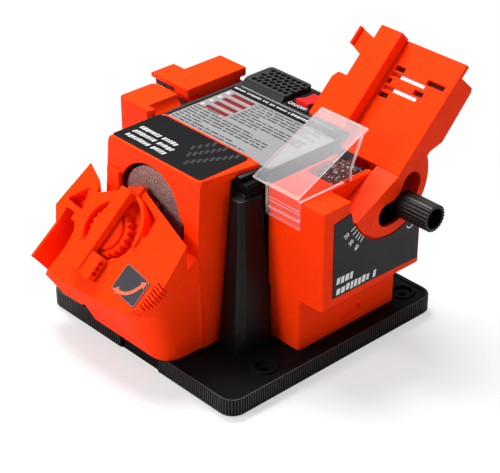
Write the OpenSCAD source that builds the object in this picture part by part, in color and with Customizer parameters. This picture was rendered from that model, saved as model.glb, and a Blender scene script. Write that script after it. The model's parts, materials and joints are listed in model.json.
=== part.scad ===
// Electric multipurpose sharpener: one motor turns a drill wheel, a plane drum and a knife wheel.
// The front is -Y and the plane station is on +X.
// The origin is on the bench, under the middle of the base plate.

/* [Base] */
// Width of the base plate
base_w = 200; // [190:1:240]
// Depth of the base plate
base_d = 202; // [202:1:242]
// Corner radius of the base plate
base_corner = 11; // [6:1:14]
// Height of the deck that the heads stand on
deck_z = 13; // [11:0.5:16]
// Height of the rim above the deck
rim_h = 1.4; // [1:0.1:2]
// Wall and skin thickness of the base plate
base_wall = 3.5; // [2.5:0.5:4]
// Radius of the bench screw holes
bench_hole_r = 2.6; // [2:0.1:3]
// Distance of the bench screw holes from the side edges
bench_inset = 18; // [15:1:22]
// Distance of the front bench screw holes from the front edge
bench_front = 47; // [42:1:52]
// Distance of the rear bench screw holes from the rear edge
bench_rear = 15; // [14:1:18]
// Radius of a rubber foot
foot_r = 8; // [6:0.5:9]
// Height of a rubber foot below the base plate
foot_proud = 1; // [0.6:0.1:2]

/* [Drive] */
// Distance of the motor shaft behind the middle of the base
shaft_y = 35; // [34:0.5:36]
// Height of the motor shaft and of the drill spindle
shaft_z = 101.3; // [100:0.1:101.5]
// Radius of the motor shaft and of the drill spindle at the bearings
shaft_r = 4; // [3.5:0.1:4.5]
// Distance of the drill spindle from the middle of the base, to the left
spindle_left = 20; // [18:0.5:22]
// Pitch radius of the two bevel gears at the large end
gear_r = 14; // [13:0.5:15]
// Number of teeth on each bevel gear
gear_teeth = 18; // [16:2:20]
// Outer radius of a bearing
bearing_r = 11; // [10:0.5:12]
// Width of a bearing
bearing_w = 6; // [5:0.5:7]
// Length of the motor's iron
iron_len = 22; // [18:1:24]
// Outer radius of the motor's iron
stator_r = 30; // [26:1:31]

/* [Housing] */
// Width of the motor housing
house_w = 117; // [114:1:121]
// Distance of the housing's middle from the base's middle, to the left
house_left_shift = 12.5; // [11:0.5:14]
// Distance of the housing's rear wall behind the middle of the base
house_rear = 96; // [92:1:98]
// Height of the joint between housing and lid
lid_z = 128; // [126:1:130]
// Height of the lid above that joint
lid_h = 10.5; // [9:0.5:11]
// Wall thickness of the housing and the heads
wall = 3; // [2:0.25:3.5]
// Radius of the upright corners at the rear of the housing
house_corner = 8; // [4:1:12]
// Height of the vent hump on the lid
hump_h = 5; // [3:0.5:6]

/* [Drill station] */
// Width of the drill head at its foot
drill_w = 103.8; // [98:0.2:104]
// Height of the drill head's top
drill_top = 142; // [140.5:0.5:145]
// Radius of the drill wheel
wheel_r = 30.5; // [27:0.5:31]
// Thickness of the drill wheel
wheel_t = 10; // [8:0.5:12]
// Slope of the drill holder's face
face_angle = 48.84; // [47:0.01:50]
// Slope of the seat that the holder swings on
seat_angle = 33; // [32:0.1:34]
// Radius of the clamp wheel
clamp_r = 23; // [20:0.5:24]
// Radius of the clamp screw
clamp_screw_r = 4; // [3:0.25:5]
// Radius of the pin that the holder swings on
pin_r = 4; // [3:0.25:5]

/* [Plane station] */
// Width of the plane head above its foot
plane_w = 55; // [52:0.5:58]
// Length of the plane and knife heads
head_len = 97.5; // [96:0.5:99]
// Height of the plane head's deck
plane_top = 133; // [131.5:0.5:133.5]
// Gap between the housing and the plane head
head_gap = 6; // [5:0.5:8]
// Radius of the plane drum
drum_r = 29.4; // [27:0.1:29.4]
// Radius of the table's hub
hub_r = 37; // [36:0.25:38]
// Slope of the blade table as it stands
table_angle = 43.9; // [42:0.1:46]
// Length of the blade table from its lower edge
table_len = 89; // [84:0.5:92]
// Thickness of the blade table
table_t = 3.5; // [3:0.25:4]
// Radius of the lock knob
knob_r = 10; // [8.5:0.25:11]
// Radius of the lock stud
stud_r = 3; // [2.5:0.25:3.5]
// Thickness of the clear shield
shield_t = 2; // [1.5:0.25:2.25]

/* [Knife station] */
// Width of the knife head above its foot
knife_w = 35; // [33:0.5:38]
// Height of the knife head's front block
knife_top = 143; // [140:0.5:146]
// Radius of the knife wheel
knife_wheel_r = 27; // [24:0.5:28]
// Thickness of the guide plate
guide_t = 7; // [5:0.5:8]
// Height of the slot under the guide plate
guide_slot = 5; // [4.5:0.25:6]

/* [Fits] */
// Gap all round between a turning shaft and its bearing
run_gap = 0.05; // [0.03:0.01:0.08]
// Gap all round between pieces that are fastened together
fit_gap = 0.1; // [0.05:0.05:0.15]
// Gap between pieces that move past each other
move_gap = 0.4; // [0.3:0.05:0.6]

/* [Hidden] */
$fn = 64;

orange = "#f4481c";
black = "#1d1d1f";
steel = "#b9bcc0";
iron = "#6b6e72";
copper = "#b4683a";
brass = "#c3a04b";

// Room for a cut to pass through the skin it opens
over = 1;

// Base plate
foot_seat = 2;
base_skin_z = deck_z - base_wall;
foot_inset = 17;
foot_x = base_w / 2 - foot_inset;
foot_y = base_d / 2 - foot_inset;
bench_x = base_w / 2 - bench_inset;
bench_rows = [bench_front - base_d / 2, base_d / 2 - bench_rear];
bench_points = [for (sx = [-1, 1]) for (y = bench_rows) [sx * bench_x, y]];
foot_points = [for (sx = [-1, 1]) for (sy = [-1, 1]) [sx * foot_x, sy * foot_y]];
notch_x = [-17, 23];
notch_depth = 6;
screw_r = 1.75;
screw_head_r = 3.4;
screw_head_h = 2.4;
boss_r = 5;
post_h = 14;

// Drive line
spindle_x = -spindle_left;
journal_r = shaft_r + 1;
gear_face = 6;
gear_small = (gear_r - gear_face) / gear_r;
gear_hub = 2;
shaft_gear_x = spindle_x + gear_r;
spindle_gear_y = shaft_y - gear_r;
commutator_x = shaft_gear_x + gear_hub + 0.5;
commutator_w = 8;
commutator_r = 9;
iron_x = commutator_x + commutator_w + 1.5;
rotor_r = stator_r - 13;
pole_gap = 0.5;
fan_x = iron_x + iron_len + 1.5;
fan_w = 5.5;
fan_r = stator_r - 4;
right_bearing_x = fan_x + fan_w + 1;
left_bearing_x = -50;
front_bearing_y = -36;
rear_bearing_y = spindle_gear_y - gear_hub - bearing_w - 1;
nut_w = 4;
nut_r = 7;

// Housing
house_x0 = -house_left_shift - house_w / 2;
house_x1 = -house_left_shift + house_w / 2;
cover_top = lid_z + lid_h;
house_front = -53.7;
house_lean = 0.1318;
cover_front = -37;
panel_t = 0.6;
panel_front = -15.2;
panel_rear = 56.5;
cover_screw_y = -8;
cover_screw_x = [house_x0 + wall + 3.5, house_x1 - wall - 3.5];
cover_boss_r = 4.5;
cover_boss_h = 18;
cover_head_depth = 3;
inlet_x = 14;
inlet_z = 34;
inlet_r = 6;
inlet_bore_r = 3.4;
inlet_flange_r = 9;
hump_x1 = -22;
hump_inset = 4;
hump_skin = 2.5;
hump_y0 = 64;
switch_x = -9;
switch_y = 77;
rocker_len = 19;
rocker_w = 13;
rocker_tilt = 8;
rocker_pin_r = 1.5;
rocker_z = cover_top - 1;

// Drill station
drill_x0 = -67;
drill_x1 = drill_x0 + drill_w;
drill_draft = 4.8;
drill_edge_r = 5;
drill_front_low = -71.5;
drill_front_top = -66.5;
drill_knee_z = 88;
drill_rear_top = -15.8;
drill_rear_foot = house_front - 0.6;
seat_y = -70.5;
seat_z = 87.5;
leg_front_low = -104.5;
leg_front_top = -121;
leg_nose_z = 54;
leg_foot_corner = 15;
leg_left_corner = 5;
leg_x0_low = -48;
leg_x0_top = -61;
holder_x1 = 35.4;
holder_corner = 36;
holder_corner_depth = holder_corner * cos(face_angle);
leg_z0 = deck_z + rim_h + 0.2;
wheel_y = -64;
opening_r = wheel_r + 3;
face_y = -82.1;
face_z = 101.4;
pocket_r = clamp_r + 5;
pocket_depth = 7;
clamp_x = -35;
clamp_s = -18.4;
clamp_h = 9;
bar_angle = -11;
bar_len = 64;
bar_w = 11;
bar_h = 6.5;
bar_gap = 0.5;
end_x1 = 22;
trench_depth = 24;
trench_wall = 3;
trench_x1 = -70;
holder_clear_y = -77;
arrow_label_t = 0.5;
seat_gap = 0.3;
pin_x = -27;
pin_down = 22;
pin_len_up = 4;
pin_len_down = 14;

// Corner pillar
pillar_gap = 0.6;
pillar_x0 = drill_x1 + 0.8;
pillar_foot_w = 25.4;
pillar_top_w = 12.4;
pillar_foot_y = -59;
pillar_top_y = -46;
pillar_cap_w = 9.4;
pillar_cap_y = -40;
pillar_cap_h = 5;
pillar_foot_corner = 7;
pillar_top_corner = 4;
pillar_top_drop = 2.5;
pillar_slice = 0.5;

// Plane station
plane_x0 = house_x1 + head_gap;
plane_x1 = plane_x0 + plane_w;
plane_foot_x0 = plane_x0 + 2;
plane_foot_x1 = plane_x0 + 33;
head_y0 = -24;
head_y1 = head_y0 + head_len;
step_z = 56;
tilt_y = 39.4;
tilt_z = 130.7;
drum_x0 = plane_x0 + 4;
drum_w = 24;
chamber_x0 = plane_x0 + 2.5;
chamber_x1 = drum_x0 + drum_w + 1.5;
pocket_x0 = plane_x0 + 35;
hub_x0 = pocket_x0 + move_gap;
hub_x1 = plane_x1 + 1;
deck_rear = 10;
table_u0 = 9.2;
table_u1 = table_u0 + table_len;
table_x0 = plane_x0 + 0.5;
slot_r = 21;
slot_half = knob_r - 1;
slot_from = -97;
slot_to = -15;
slot_floor_x = hub_x1 - 14;
lock_angle = -55;
lock_y = tilt_y + slot_r * cos(lock_angle);
lock_z = tilt_z + slot_r * sin(lock_angle);
knob_end = hub_x1 + 29.5;
washer_t = 1;
stud_seat = 4;
fence_x0 = plane_x0 - 33;
fence_x1 = table_x0 + 0.5;
fence_lift = 6.4;
fence_t = 3;
fence_u0 = 20;
fence_u1 = 99.5;
label_t = 0.6;
shield_x0 = plane_x0 - 11;
shield_x1 = plane_x0 + 33.4;
corner_x = shield_x0 - 1;
corner_y = -17;
corner_z = plane_top + 1.4;
shield_front = head_y0 - move_gap - shield_t;
shield_z = plane_top + 2.2;
shield_angle = 24.8;
shield_reach = 66;
shield_skirt_z = 119;
peg_y0 = 17;
peg_y1 = 23.5;
peg_depth = 7;
peg_gap = 0.2;

// Knife station
knife_x1 = house_x0 - 1;
knife_x0 = knife_x1 - knife_w;
knife_foot_x0 = knife_x1 - 17;
knife_body_z = 118;
knife_rear_z = 134;
slot_y0 = 10;
slot_y1 = 22;
knife_wheel_w = 14;
knife_wheel_x = knife_x0 + 9;
guide_z = knife_rear_z + guide_slot;
rib_w = 5;
guide_x1 = knife_x1 - 4;
guide_front = 17;
guide_screw_r = 1.2;
guide_head_r = 2.4;
guide_head_depth = 3;
guide_points = [for (y = [slot_y1 + 14, head_y1 - 14]) [guide_x1 - rib_w / 2, y]];
scoop_r = 13;

// Places of the screws that hold the housing and the heads down on the deck
post_inset = wall + 4.5;
head_post_rows = [head_y0 + post_inset, head_y1 - post_inset];
plane_posts = [for (y = head_post_rows) [plane_foot_x0 + post_inset, y]];
knife_posts = [for (y = head_post_rows) [knife_x1 - post_inset, y]];
drill_posts = [for (x = [drill_x0 + post_inset, drill_x1 - post_inset]) [x, drill_front_low + post_inset]];
house_posts = [for (x = [house_x0 + post_inset, house_x1 - post_inset]) [x, house_rear - post_inset]];
base_screw_points = concat(plane_posts, knife_posts, drill_posts, house_posts);
frame_x0 = left_bearing_x - 2;
frame_x1 = right_bearing_x + bearing_w;
frame_y1 = shaft_y + 18;
frame_t = 3.5;
frame_rows = [front_bearing_y + 14, frame_y1 - 6];
frame_points = [for (x = [frame_x0 + 12, frame_x1 - 12]) for (y = frame_rows) [x, y]];

function front_y(z) = house_front + (z - deck_z) * house_lean;
function drill_rear(z) = drill_rear_foot + (z - deck_z) * house_lean;
function polar(r, a) = [r * cos(a), r * sin(a)];

// Block between two corners
module block(x, y, z) {
  translate([x[0], y[0], z[0]])
    cube([x[1] - x[0], y[1] - y[0], z[1] - z[0]]);
}

// Rectangle with rounded corners
module round_rect(x, y, r) {
  translate([x[0] + r, y[0]])
    square([x[1] - x[0] - 2 * r, y[1] - y[0]]);
  translate([x[0], y[0] + r])
    square([x[1] - x[0], y[1] - y[0] - 2 * r]);
  for (cx = [x[0] + r, x[1] - r])
    for (cy = [y[0] + r, y[1] - r])
      translate([cx, cy])
        circle(r);
}

// Block with rounded upright edges
module round_block(x, y, z, r) {
  translate([0, 0, z[0]])
    linear_extrude(z[1] - z[0])
      round_rect(x, y, r);
}

// Outline drawn in Y and Z, pulled out along X
module along_x(x) {
  translate([x[0], 0, 0])
    rotate([90, 0, 90])
      linear_extrude(x[1] - x[0])
        children();
}

// Outline drawn in X and Z, pulled out along Y
module along_y(y) {
  translate([0, y[1], 0])
    rotate([90, 0, 0])
      linear_extrude(y[1] - y[0])
        children();
}

module rod_x(x, r, y = shaft_y, z = shaft_z) {
  translate([x[0], y, z])
    rotate([0, 90, 0])
      cylinder(h = x[1] - x[0], r = r);
}

module rod_y(y, r, x = spindle_x, z = shaft_z) {
  translate([x, y[0], z])
    rotate([-90, 0, 0])
      cylinder(h = y[1] - y[0], r = r);
}

module rod_z(p, z, r) {
  translate([p[0], p[1], z[0]])
    cylinder(h = z[1] - z[0], r = r);
}

// Frame of the holder's sloped face: x across, y up the slope, z out of the face
module on_face() {
  translate([0, face_y, face_z])
    rotate([face_angle, 0, 0])
      children();
}

// Frame of the seat that the holder swings on, with its origin at the top of the seat
module on_seat() {
  translate([0, seat_y, seat_z])
    rotate([seat_angle, 0, 0])
      children();
}

// Frame of the blade table: x across, y up the table, z out of it, origin on the tilt axis
module on_table() {
  translate([0, tilt_y, tilt_z])
    rotate([table_angle, 0, 0])
      children();
}

// Posts that take the base screws
module posts(points) {
  for (p = points)
    rod_z(p, [deck_z, deck_z + post_h], boss_r);
}

module post_holes(points) {
  for (p = points)
    rod_z(p, [deck_z - over, deck_z + post_h - 2], screw_r + fit_gap);
}

module base_plate() {
  half_w = base_w / 2;
  half_d = base_d / 2;
  color(black)
    difference() {
      union() {
        difference() {
          round_block([-half_w, half_w], [-half_d, half_d], [foot_proud, deck_z + rim_h], base_corner);
          round_block(
            [-half_w + base_wall, half_w - base_wall], [-half_d + base_wall, half_d - base_wall],
            [deck_z, deck_z + rim_h + over], base_corner - base_wall);
          round_block(
            [-half_w + base_wall, half_w - base_wall], [-half_d + base_wall, half_d - base_wall],
            [foot_proud - over, base_skin_z], base_corner - base_wall);
        }
        block(notch_x + [-base_wall, base_wall], [-half_d + 1, -half_d + notch_depth + base_wall],
          [foot_proud, deck_z]);
        for (p = foot_points)
          rod_z(p, [foot_proud, base_skin_z + over], foot_r + 3);
        for (p = bench_points)
          rod_z(p, [foot_proud, base_skin_z + over], bench_hole_r + 4);
        for (p = bench_points)
          rod_z(p, [base_skin_z, deck_z + rim_h], bench_hole_r + 7);
        for (p = concat(base_screw_points, frame_points))
          rod_z(p, [foot_proud + 3, base_skin_z + over], boss_r);
      }
      block(notch_x, [-half_d - over, -half_d + notch_depth], [foot_proud - over, deck_z + rim_h + over]);
      for (p = foot_points)
        rod_z(p, [foot_proud - over, foot_proud + foot_seat], foot_r + fit_gap);
      for (p = bench_points)
        rod_z(p, [foot_proud - over, deck_z + rim_h + over], bench_hole_r);
      for (p = bench_points)
        rod_z(p, [deck_z - 1.5, deck_z + rim_h + over], bench_hole_r + 4.4);
      for (p = base_screw_points)
        rod_z(p, [0, deck_z + over], screw_r + fit_gap);
      for (p = frame_points)
        rod_z(p, [foot_proud + 5, deck_z + over], screw_r + fit_gap);
    }
}

module rubber_feet() {
  color("#2b2b2b")
    for (p = foot_points)
      rod_z(p, [0, foot_proud + foot_seat], foot_r);
}

module base_screws() {
  head_z = foot_proud + 3;
  color(steel)
    for (p = base_screw_points) {
      rod_z(p, [head_z - screw_head_h, head_z], screw_head_r);
      rod_z(p, [head_z - 0.1, deck_z + post_h - 3], screw_r);
    }
}

// Corner pillar between the two front heads: a wide foot that narrows to its top
module pillar(inset) {
  x0 = pillar_x0 + inset;
  y1 = head_y0 - pillar_gap - inset;
  foot_x1 = pillar_x0 + pillar_foot_w - inset;
  top_x1 = pillar_x0 + pillar_top_w - inset;
  hull() {
    translate([0, 0, inset > 0 ? deck_z - over : deck_z])
      linear_extrude(pillar_slice)
        round_rect([x0, foot_x1], [pillar_foot_y + inset, y1], pillar_foot_corner - inset, $fn = 32);
    translate([0, 0, lid_z - pillar_top_drop - inset])
      linear_extrude(pillar_slice)
        round_rect([x0, top_x1], [pillar_top_y + inset, y1], pillar_top_corner - inset, $fn = 32);
  }
}

module housing() {
  top = lid_z;
  color(black)
    difference() {
      union() {
        difference() {
          union() {
            intersection() {
              along_x([house_x0, house_x1])
                polygon([
                  [front_y(deck_z), deck_z], [house_rear, deck_z],
                  [house_rear, top], [front_y(top), top]]);
              round_block([house_x0, house_x1], [house_front - 40, house_rear], [deck_z, top], house_corner);
            }
            pillar(0);
            block(
              [house_x1 - wall, pillar_x0 + pillar_cap_w], [pillar_cap_y, head_y0 - pillar_gap],
              [lid_z - pillar_cap_h, lid_z]);
          }
          pillar(wall);
          along_x([house_x0 + wall, house_x1 - wall])
            polygon([
              [front_y(deck_z - over) + wall, deck_z - over], [house_rear - wall, deck_z - over],
              [house_rear - wall, top + over], [front_y(top + over) + wall, top + over]]);
        }
        posts(house_posts);
        for (x = cover_screw_x)
          rod_z([x, cover_screw_y], [lid_z - cover_boss_h, lid_z], cover_boss_r);
      }
      post_holes(house_posts);
      for (x = cover_screw_x)
        rod_z([x, cover_screw_y], [lid_z - cover_boss_h + 2, lid_z + over], screw_r + fit_gap);
      rod_x([house_x0 - over, house_x0 + wall + over], journal_r + 3);
      rod_x([house_x1 - wall - over, house_x1 + over], journal_r + 3);
      rod_y([house_front, front_bearing_y - over], journal_r + 3);
      rod_y([house_rear - wall - over, house_rear + over], inlet_r + fit_gap, inlet_x, inlet_z);
    }
}

// Six-sided vent holes in staggered rows
module vents() {
  hole_r = 2.3;
  pitch = 5.6;
  for (row = [0:4])
    for (col = [0:7 - row % 2])
      rod_z(
        [-60 + (col + (row % 2) / 2) * pitch, 69 + row * pitch * 0.866],
        [cover_top - wall - over, cover_top + hump_h + over], hole_r, $fn = 6);
}

module top_cover() {
  switch_hole = [rocker_w / 2 + 3.4, rocker_len / 2 + 3.4];
  color(black)
    difference() {
      union() {
        difference() {
          round_block(
            [house_x0, house_x1], [cover_front - house_corner, house_rear], [lid_z, cover_top], house_corner);
          block(
            [house_x0 + wall, house_x1 - wall], [cover_front + wall, house_rear - wall],
            [lid_z - over, cover_top - wall]);
          block(
            [house_x0 - over, house_x1 + over], [cover_front - house_corner - over, cover_front],
            [lid_z - over, cover_top + over]);
        }
        round_block(
          [house_x0 + hump_inset, hump_x1], [hump_y0, house_rear - 3],
          [cover_top - over, cover_top + hump_h], hump_inset);
        block(
          [house_x1 - wall, pillar_x0 + pillar_cap_w], [pillar_cap_y + 3, head_y0 - pillar_gap],
          [lid_z, lid_z + pillar_cap_h]);
        for (x = cover_screw_x)
          rod_z([x, cover_screw_y], [lid_z, cover_top - over], cover_boss_r);
        block(
          [corner_x - wall, house_x1], [cover_front, corner_y + wall], [corner_z - wall, corner_z + over]);
      }
      block([corner_x, house_x1 + over], [cover_front - over, corner_y], [corner_z, cover_top + over]);
      vents();
      block(
        [house_x0 + 2 * hump_inset, hump_x1 - hump_inset], [hump_y0 + 3, house_rear - 6],
        [cover_top - wall - over, cover_top + hump_h - hump_skin]);
      block(
        [switch_x - switch_hole[0], switch_x + switch_hole[0]],
        [switch_y - switch_hole[1], switch_y + switch_hole[1]],
        [cover_top - wall - over, cover_top + over]);
      for (x = cover_screw_x) {
        rod_z([x, cover_screw_y], [lid_z - over, cover_top + over], screw_r + fit_gap);
        rod_z([x, cover_screw_y], [cover_top - cover_head_depth, cover_top + over], screw_head_r + fit_gap);
      }
    }
}

module cover_screws() {
  head_z = cover_top - cover_head_depth;
  color(steel)
    for (x = cover_screw_x) {
      rod_z([x, cover_screw_y], [head_z, head_z + screw_head_h], screw_head_r);
      rod_z([x, cover_screw_y], [lid_z - cover_boss_h + 6, head_z + 0.1], screw_r);
    }
}

module instruction_panel() {
  color("#8d9094")
    round_block([house_x0 + 4, house_x1 - 1], [panel_front, panel_rear], [cover_top, cover_top + panel_t], 2);
}

module switch_body() {
  body_w = rocker_w / 2 + 3;
  body_l = rocker_len / 2 + 3;
  body_bottom = cover_top - 22;
  color("#242426")
    difference() {
      union() {
        block(
          [switch_x - body_w, switch_x + body_w], [switch_y - body_l, switch_y + body_l],
          [body_bottom, cover_top]);
        block(
          [switch_x - body_w - 2, switch_x + body_w + 2], [switch_y - body_l - 2, switch_y + body_l + 2],
          [cover_top, cover_top + 1.6]);
      }
      block(
        [switch_x - rocker_w / 2 - move_gap, switch_x + rocker_w / 2 + move_gap],
        [switch_y - rocker_len / 2 - 1, switch_y + rocker_len / 2 + 1], [cover_top - 8, cover_top + 3]);
      rod_x(
        [switch_x - rocker_w / 2 - 2, switch_x + rocker_w / 2 + 2], rocker_pin_r + run_gap,
        switch_y, rocker_z);
    }
}

// Rocker, standing with its rear end pressed down
module rocker() {
  half = rocker_len / 2;
  color("#c8281e")
    translate([0, switch_y, rocker_z])
      rotate([-rocker_tilt, 0, 0]) {
        along_x([switch_x - rocker_w / 2, switch_x + rocker_w / 2])
          polygon([[-half, 0], [-half, 4.6], [0, 3.4], [half, 4.6], [half, 0], [3, -4], [-3, -4]]);
        rod_x([switch_x - rocker_w / 2 - 1.6, switch_x + rocker_w / 2 + 1.6], rocker_pin_r, 0, 0);
      }
}

module power_inlet() {
  color("#2a2a2c")
    difference() {
      union() {
        rod_y([house_rear - wall - 4, house_rear], inlet_r, inlet_x, inlet_z);
        rod_y([house_rear, house_rear + 4], inlet_flange_r, inlet_x, inlet_z);
      }
      rod_y([house_rear - wall - 5, house_rear + 5], inlet_bore_r, inlet_x, inlet_z);
    }
}

// Cast frame that holds the four bearings and the motor's iron
module bearing_frame() {
  top = shaft_z + bearing_r + 5;
  cradle_half = 14;
  color("#a7a9ab")
    difference() {
      union() {
        block([frame_x0, frame_x1], [front_bearing_y, frame_y1], [deck_z, deck_z + frame_t]);
        for (x = [left_bearing_x, right_bearing_x])
          block([x, x + bearing_w], [shaft_y - bearing_r - 5, shaft_y + bearing_r + 5], [deck_z, top]);
        for (y = [front_bearing_y, rear_bearing_y])
          block([spindle_x - bearing_r - 5, spindle_x + bearing_r + 3], [y, y + bearing_w], [deck_z, top]);
        block([iron_x + 3, iron_x + iron_len - 3], [shaft_y - cradle_half, shaft_y + cradle_half],
          [deck_z, shaft_z - stator_r + 6]);
      }
      for (x = [left_bearing_x, right_bearing_x])
        rod_x([x - over, x + bearing_w + over], bearing_r + fit_gap);
      for (y = [front_bearing_y, rear_bearing_y])
        rod_y([y - over, y + bearing_w + over], bearing_r + fit_gap);
      rod_x([iron_x - over, iron_x + iron_len + over], stator_r + fit_gap);
      for (p = frame_points)
        rod_z(p, [deck_z - over, deck_z + frame_t + over], screw_r + fit_gap);
    }
}

module frame_screws() {
  color(steel)
    for (p = frame_points) {
      rod_z(p, [deck_z + frame_t, deck_z + frame_t + screw_head_h], screw_head_r);
      rod_z(p, [foot_proud + 5.5, deck_z + frame_t + 0.1], screw_r);
    }
}

// Bearing ring about the Z axis, with a groove between the races
module bearing() {
  difference() {
    cylinder(h = bearing_w, r = bearing_r);
    translate([0, 0, -over])
      cylinder(h = bearing_w + 2 * over, r = shaft_r + run_gap);
    for (z = [-over, bearing_w - 0.8])
      translate([0, 0, z])
        difference() {
          cylinder(h = 0.8 + over, r = bearing_r - 2);
          cylinder(h = 0.8 + over, r = shaft_r + 2.2);
        }
  }
}

module shaft_bearings() {
  color(steel)
    for (x = [left_bearing_x, right_bearing_x])
      translate([x, shaft_y, shaft_z])
        rotate([0, 90, 0])
          bearing();
}

module spindle_bearings() {
  color(steel)
    for (y = [front_bearing_y, rear_bearing_y])
      translate([spindle_x, y, shaft_z])
        rotate([-90, 0, 0])
          bearing();
}

// Yoke ring with two pole shoes, front and rear
module stator() {
  pole_half = 11;
  x = [iron_x, iron_x + iron_len];
  color(iron)
    difference() {
      rod_x(x, stator_r);
      difference() {
        rod_x(x + [-over, over], stator_r - 4.5);
        block(
          x + [-2 * over, 2 * over], [shaft_y - stator_r, shaft_y + stator_r],
          [shaft_z - pole_half, shaft_z + pole_half]);
      }
      rod_x(x + [-over, over], rotor_r + pole_gap);
    }
}

// Two windings on each pole, above and below its shoe
module field_coils() {
  x = [iron_x + 1, iron_x + iron_len - 1];
  color(copper)
    intersection() {
      difference() {
        rod_x(x, stator_r - 4.6);
        rod_x(x + [-over, over], rotor_r + 2);
      }
      for (sy = [-1, 1])
        for (sz = [-1, 1])
          translate([0, shaft_y + sy * 14, shaft_z + sz * 14.6])
            block(x, [-6, 6], [-3.5, 3.5]);
    }
}

// Insulating plate with two brush tubes, on standoffs against the iron
module brush_holders() {
  plate_x = commutator_x + 1;
  tube_r = [commutator_r + 2, commutator_r + 15];
  color("#6a3d22")
    difference() {
      union() {
        difference() {
          rod_x([plate_x, plate_x + 2], stator_r - 2);
          rod_x([plate_x - over, plate_x + 3], commutator_r + 1.5);
        }
        for (sz = [-1, 1])
          translate([0, shaft_y, shaft_z + sz * (tube_r[0] + tube_r[1]) / 2])
            block([plate_x, plate_x + 6.5], [-4, 4], [-6.5, 6.5]);
        for (sy = [-1, 1])
          rod_x([plate_x + 1, iron_x], 2, shaft_y + sy * (stator_r - 4.5), shaft_z);
      }
      block([plate_x + 1.2, plate_x + 5.5], [shaft_y - 2.7, shaft_y + 2.7], [shaft_z - 40, shaft_z + 40]);
    }
}

module carbon_brushes() {
  x = [commutator_x + 2.3, commutator_x + 6.4];
  color("#333336")
    for (sz = [-1, 1])
      translate([0, shaft_y, shaft_z + sz * (commutator_r + 6.6)])
        block(x, [-2.6, 2.6], [-6.3, 6.3]);
}

module main_shaft() {
  color(steel) {
    rod_x([knife_x0 + wall + 1, drum_x0 + drum_w - 1], shaft_r);
    rod_x([left_bearing_x + bearing_w + 0.3, right_bearing_x - 0.3], journal_r);
    rod_x([knife_wheel_x + knife_wheel_w + 0.1, left_bearing_x - 8], journal_r);
    rod_x([house_x1 + 0.5, drum_x0 - 0.1], journal_r);
  }
}

module rotor() {
  slots = 12;
  x = [iron_x, iron_x + iron_len];
  color("#75797d")
    difference() {
      rod_x(x, rotor_r);
      rod_x(x + [-over, over], journal_r + 0.02);
      for (i = [0:slots - 1])
        translate([0, shaft_y, shaft_z])
          rotate([i * 360 / slots, 0, 0])
            block(x + [-over, over], [-1, 1], [rotor_r - 6, rotor_r + over]);
    }
}

module commutator() {
  bars = 12;
  x = [commutator_x, commutator_x + commutator_w];
  color(copper)
    difference() {
      rod_x(x, commutator_r);
      rod_x(x + [-over, over], journal_r + 0.02);
      for (i = [0:bars - 1])
        translate([0, shaft_y, shaft_z])
          rotate([i * 360 / bars, 0, 0])
            block(x + [-over, over], [-0.3, 0.3], [commutator_r - 1.2, commutator_r + over]);
    }
}

module cooling_fan() {
  blades = 9;
  color("#3a3a3c")
    difference() {
      union() {
        rod_x([fan_x, fan_x + fan_w], journal_r + 3);
        rod_x([fan_x + fan_w - 1.5, fan_x + fan_w], fan_r);
        for (i = [0:blades - 1])
          translate([0, shaft_y, shaft_z])
            rotate([i * 360 / blades, 0, 0])
              block([fan_x + 0.3, fan_x + fan_w - 1], [-0.75, 0.75], [journal_r + 2, fan_r - 0.5]);
      }
      rod_x([fan_x - over, fan_x + fan_w + over], journal_r + 0.02);
    }
}

// Outline of a bevel gear at its large end, with one tooth on the +X side
module gear_outline() {
  tip = gear_r + 0.8;
  root = gear_r - 1.4;
  pitch = 360 / gear_teeth;
  circle(root, $fn = gear_teeth * 2);
  for (i = [0:gear_teeth - 1])
    rotate(i * pitch)
      polygon([
        polar(root - 0.5, -0.27 * pitch), polar(tip, -0.12 * pitch),
        polar(tip, 0.12 * pitch), polar(root - 0.5, 0.27 * pitch)]);
}

// Bevel gear about the Z axis, small end up, with its hub below
module bevel_gear(turn) {
  difference() {
    union() {
      linear_extrude(gear_face, scale = gear_small)
        rotate(turn)
          gear_outline();
      translate([0, 0, -gear_hub])
        cylinder(h = gear_hub, r = gear_r - 4);
    }
    translate([0, 0, -gear_hub - over])
      cylinder(h = gear_face + gear_hub + 2 * over, r = journal_r + 0.02);
  }
}

module shaft_gear() {
  color(brass)
    translate([shaft_gear_x, shaft_y, shaft_z])
      rotate([0, -90, 0])
        bevel_gear(90);
}

module spindle_gear() {
  color(brass)
    translate([spindle_x, spindle_gear_y, shaft_z])
      rotate([-90, 0, 0])
        bevel_gear(180 / gear_teeth);
}

module drill_spindle() {
  color(steel) {
    rod_y([wheel_y + 0.5, spindle_gear_y + gear_face - 0.5], shaft_r);
    rod_y([wheel_y + wheel_t + 0.1, front_bearing_y - 0.3], journal_r);
    rod_y([front_bearing_y + bearing_w + 0.3, rear_bearing_y - 0.3], journal_r);
    rod_y([rear_bearing_y + bearing_w + 0.3, spindle_gear_y + gear_face - 0.5], journal_r);
  }
}

module drill_wheel() {
  color("#b9a39c")
    difference() {
      rod_y([wheel_y, wheel_y + wheel_t], wheel_r);
      rod_y([wheel_y - over, wheel_y + wheel_t + over], shaft_r + 0.02);
      rod_y([wheel_y - over, wheel_y + nut_w + 1], nut_r + 2);
    }
}

// Hexagon nut about the Z axis
module nut() {
  difference() {
    cylinder(h = nut_w, r = nut_r, $fn = 6);
    translate([0, 0, -over])
      cylinder(h = nut_w + 2 * over, r = shaft_r + 0.02);
  }
}

module wheel_nut() {
  color(steel)
    translate([spindle_x, wheel_y + 1, shaft_z])
      rotate([-90, 0, 0])
        nut();
}

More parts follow.
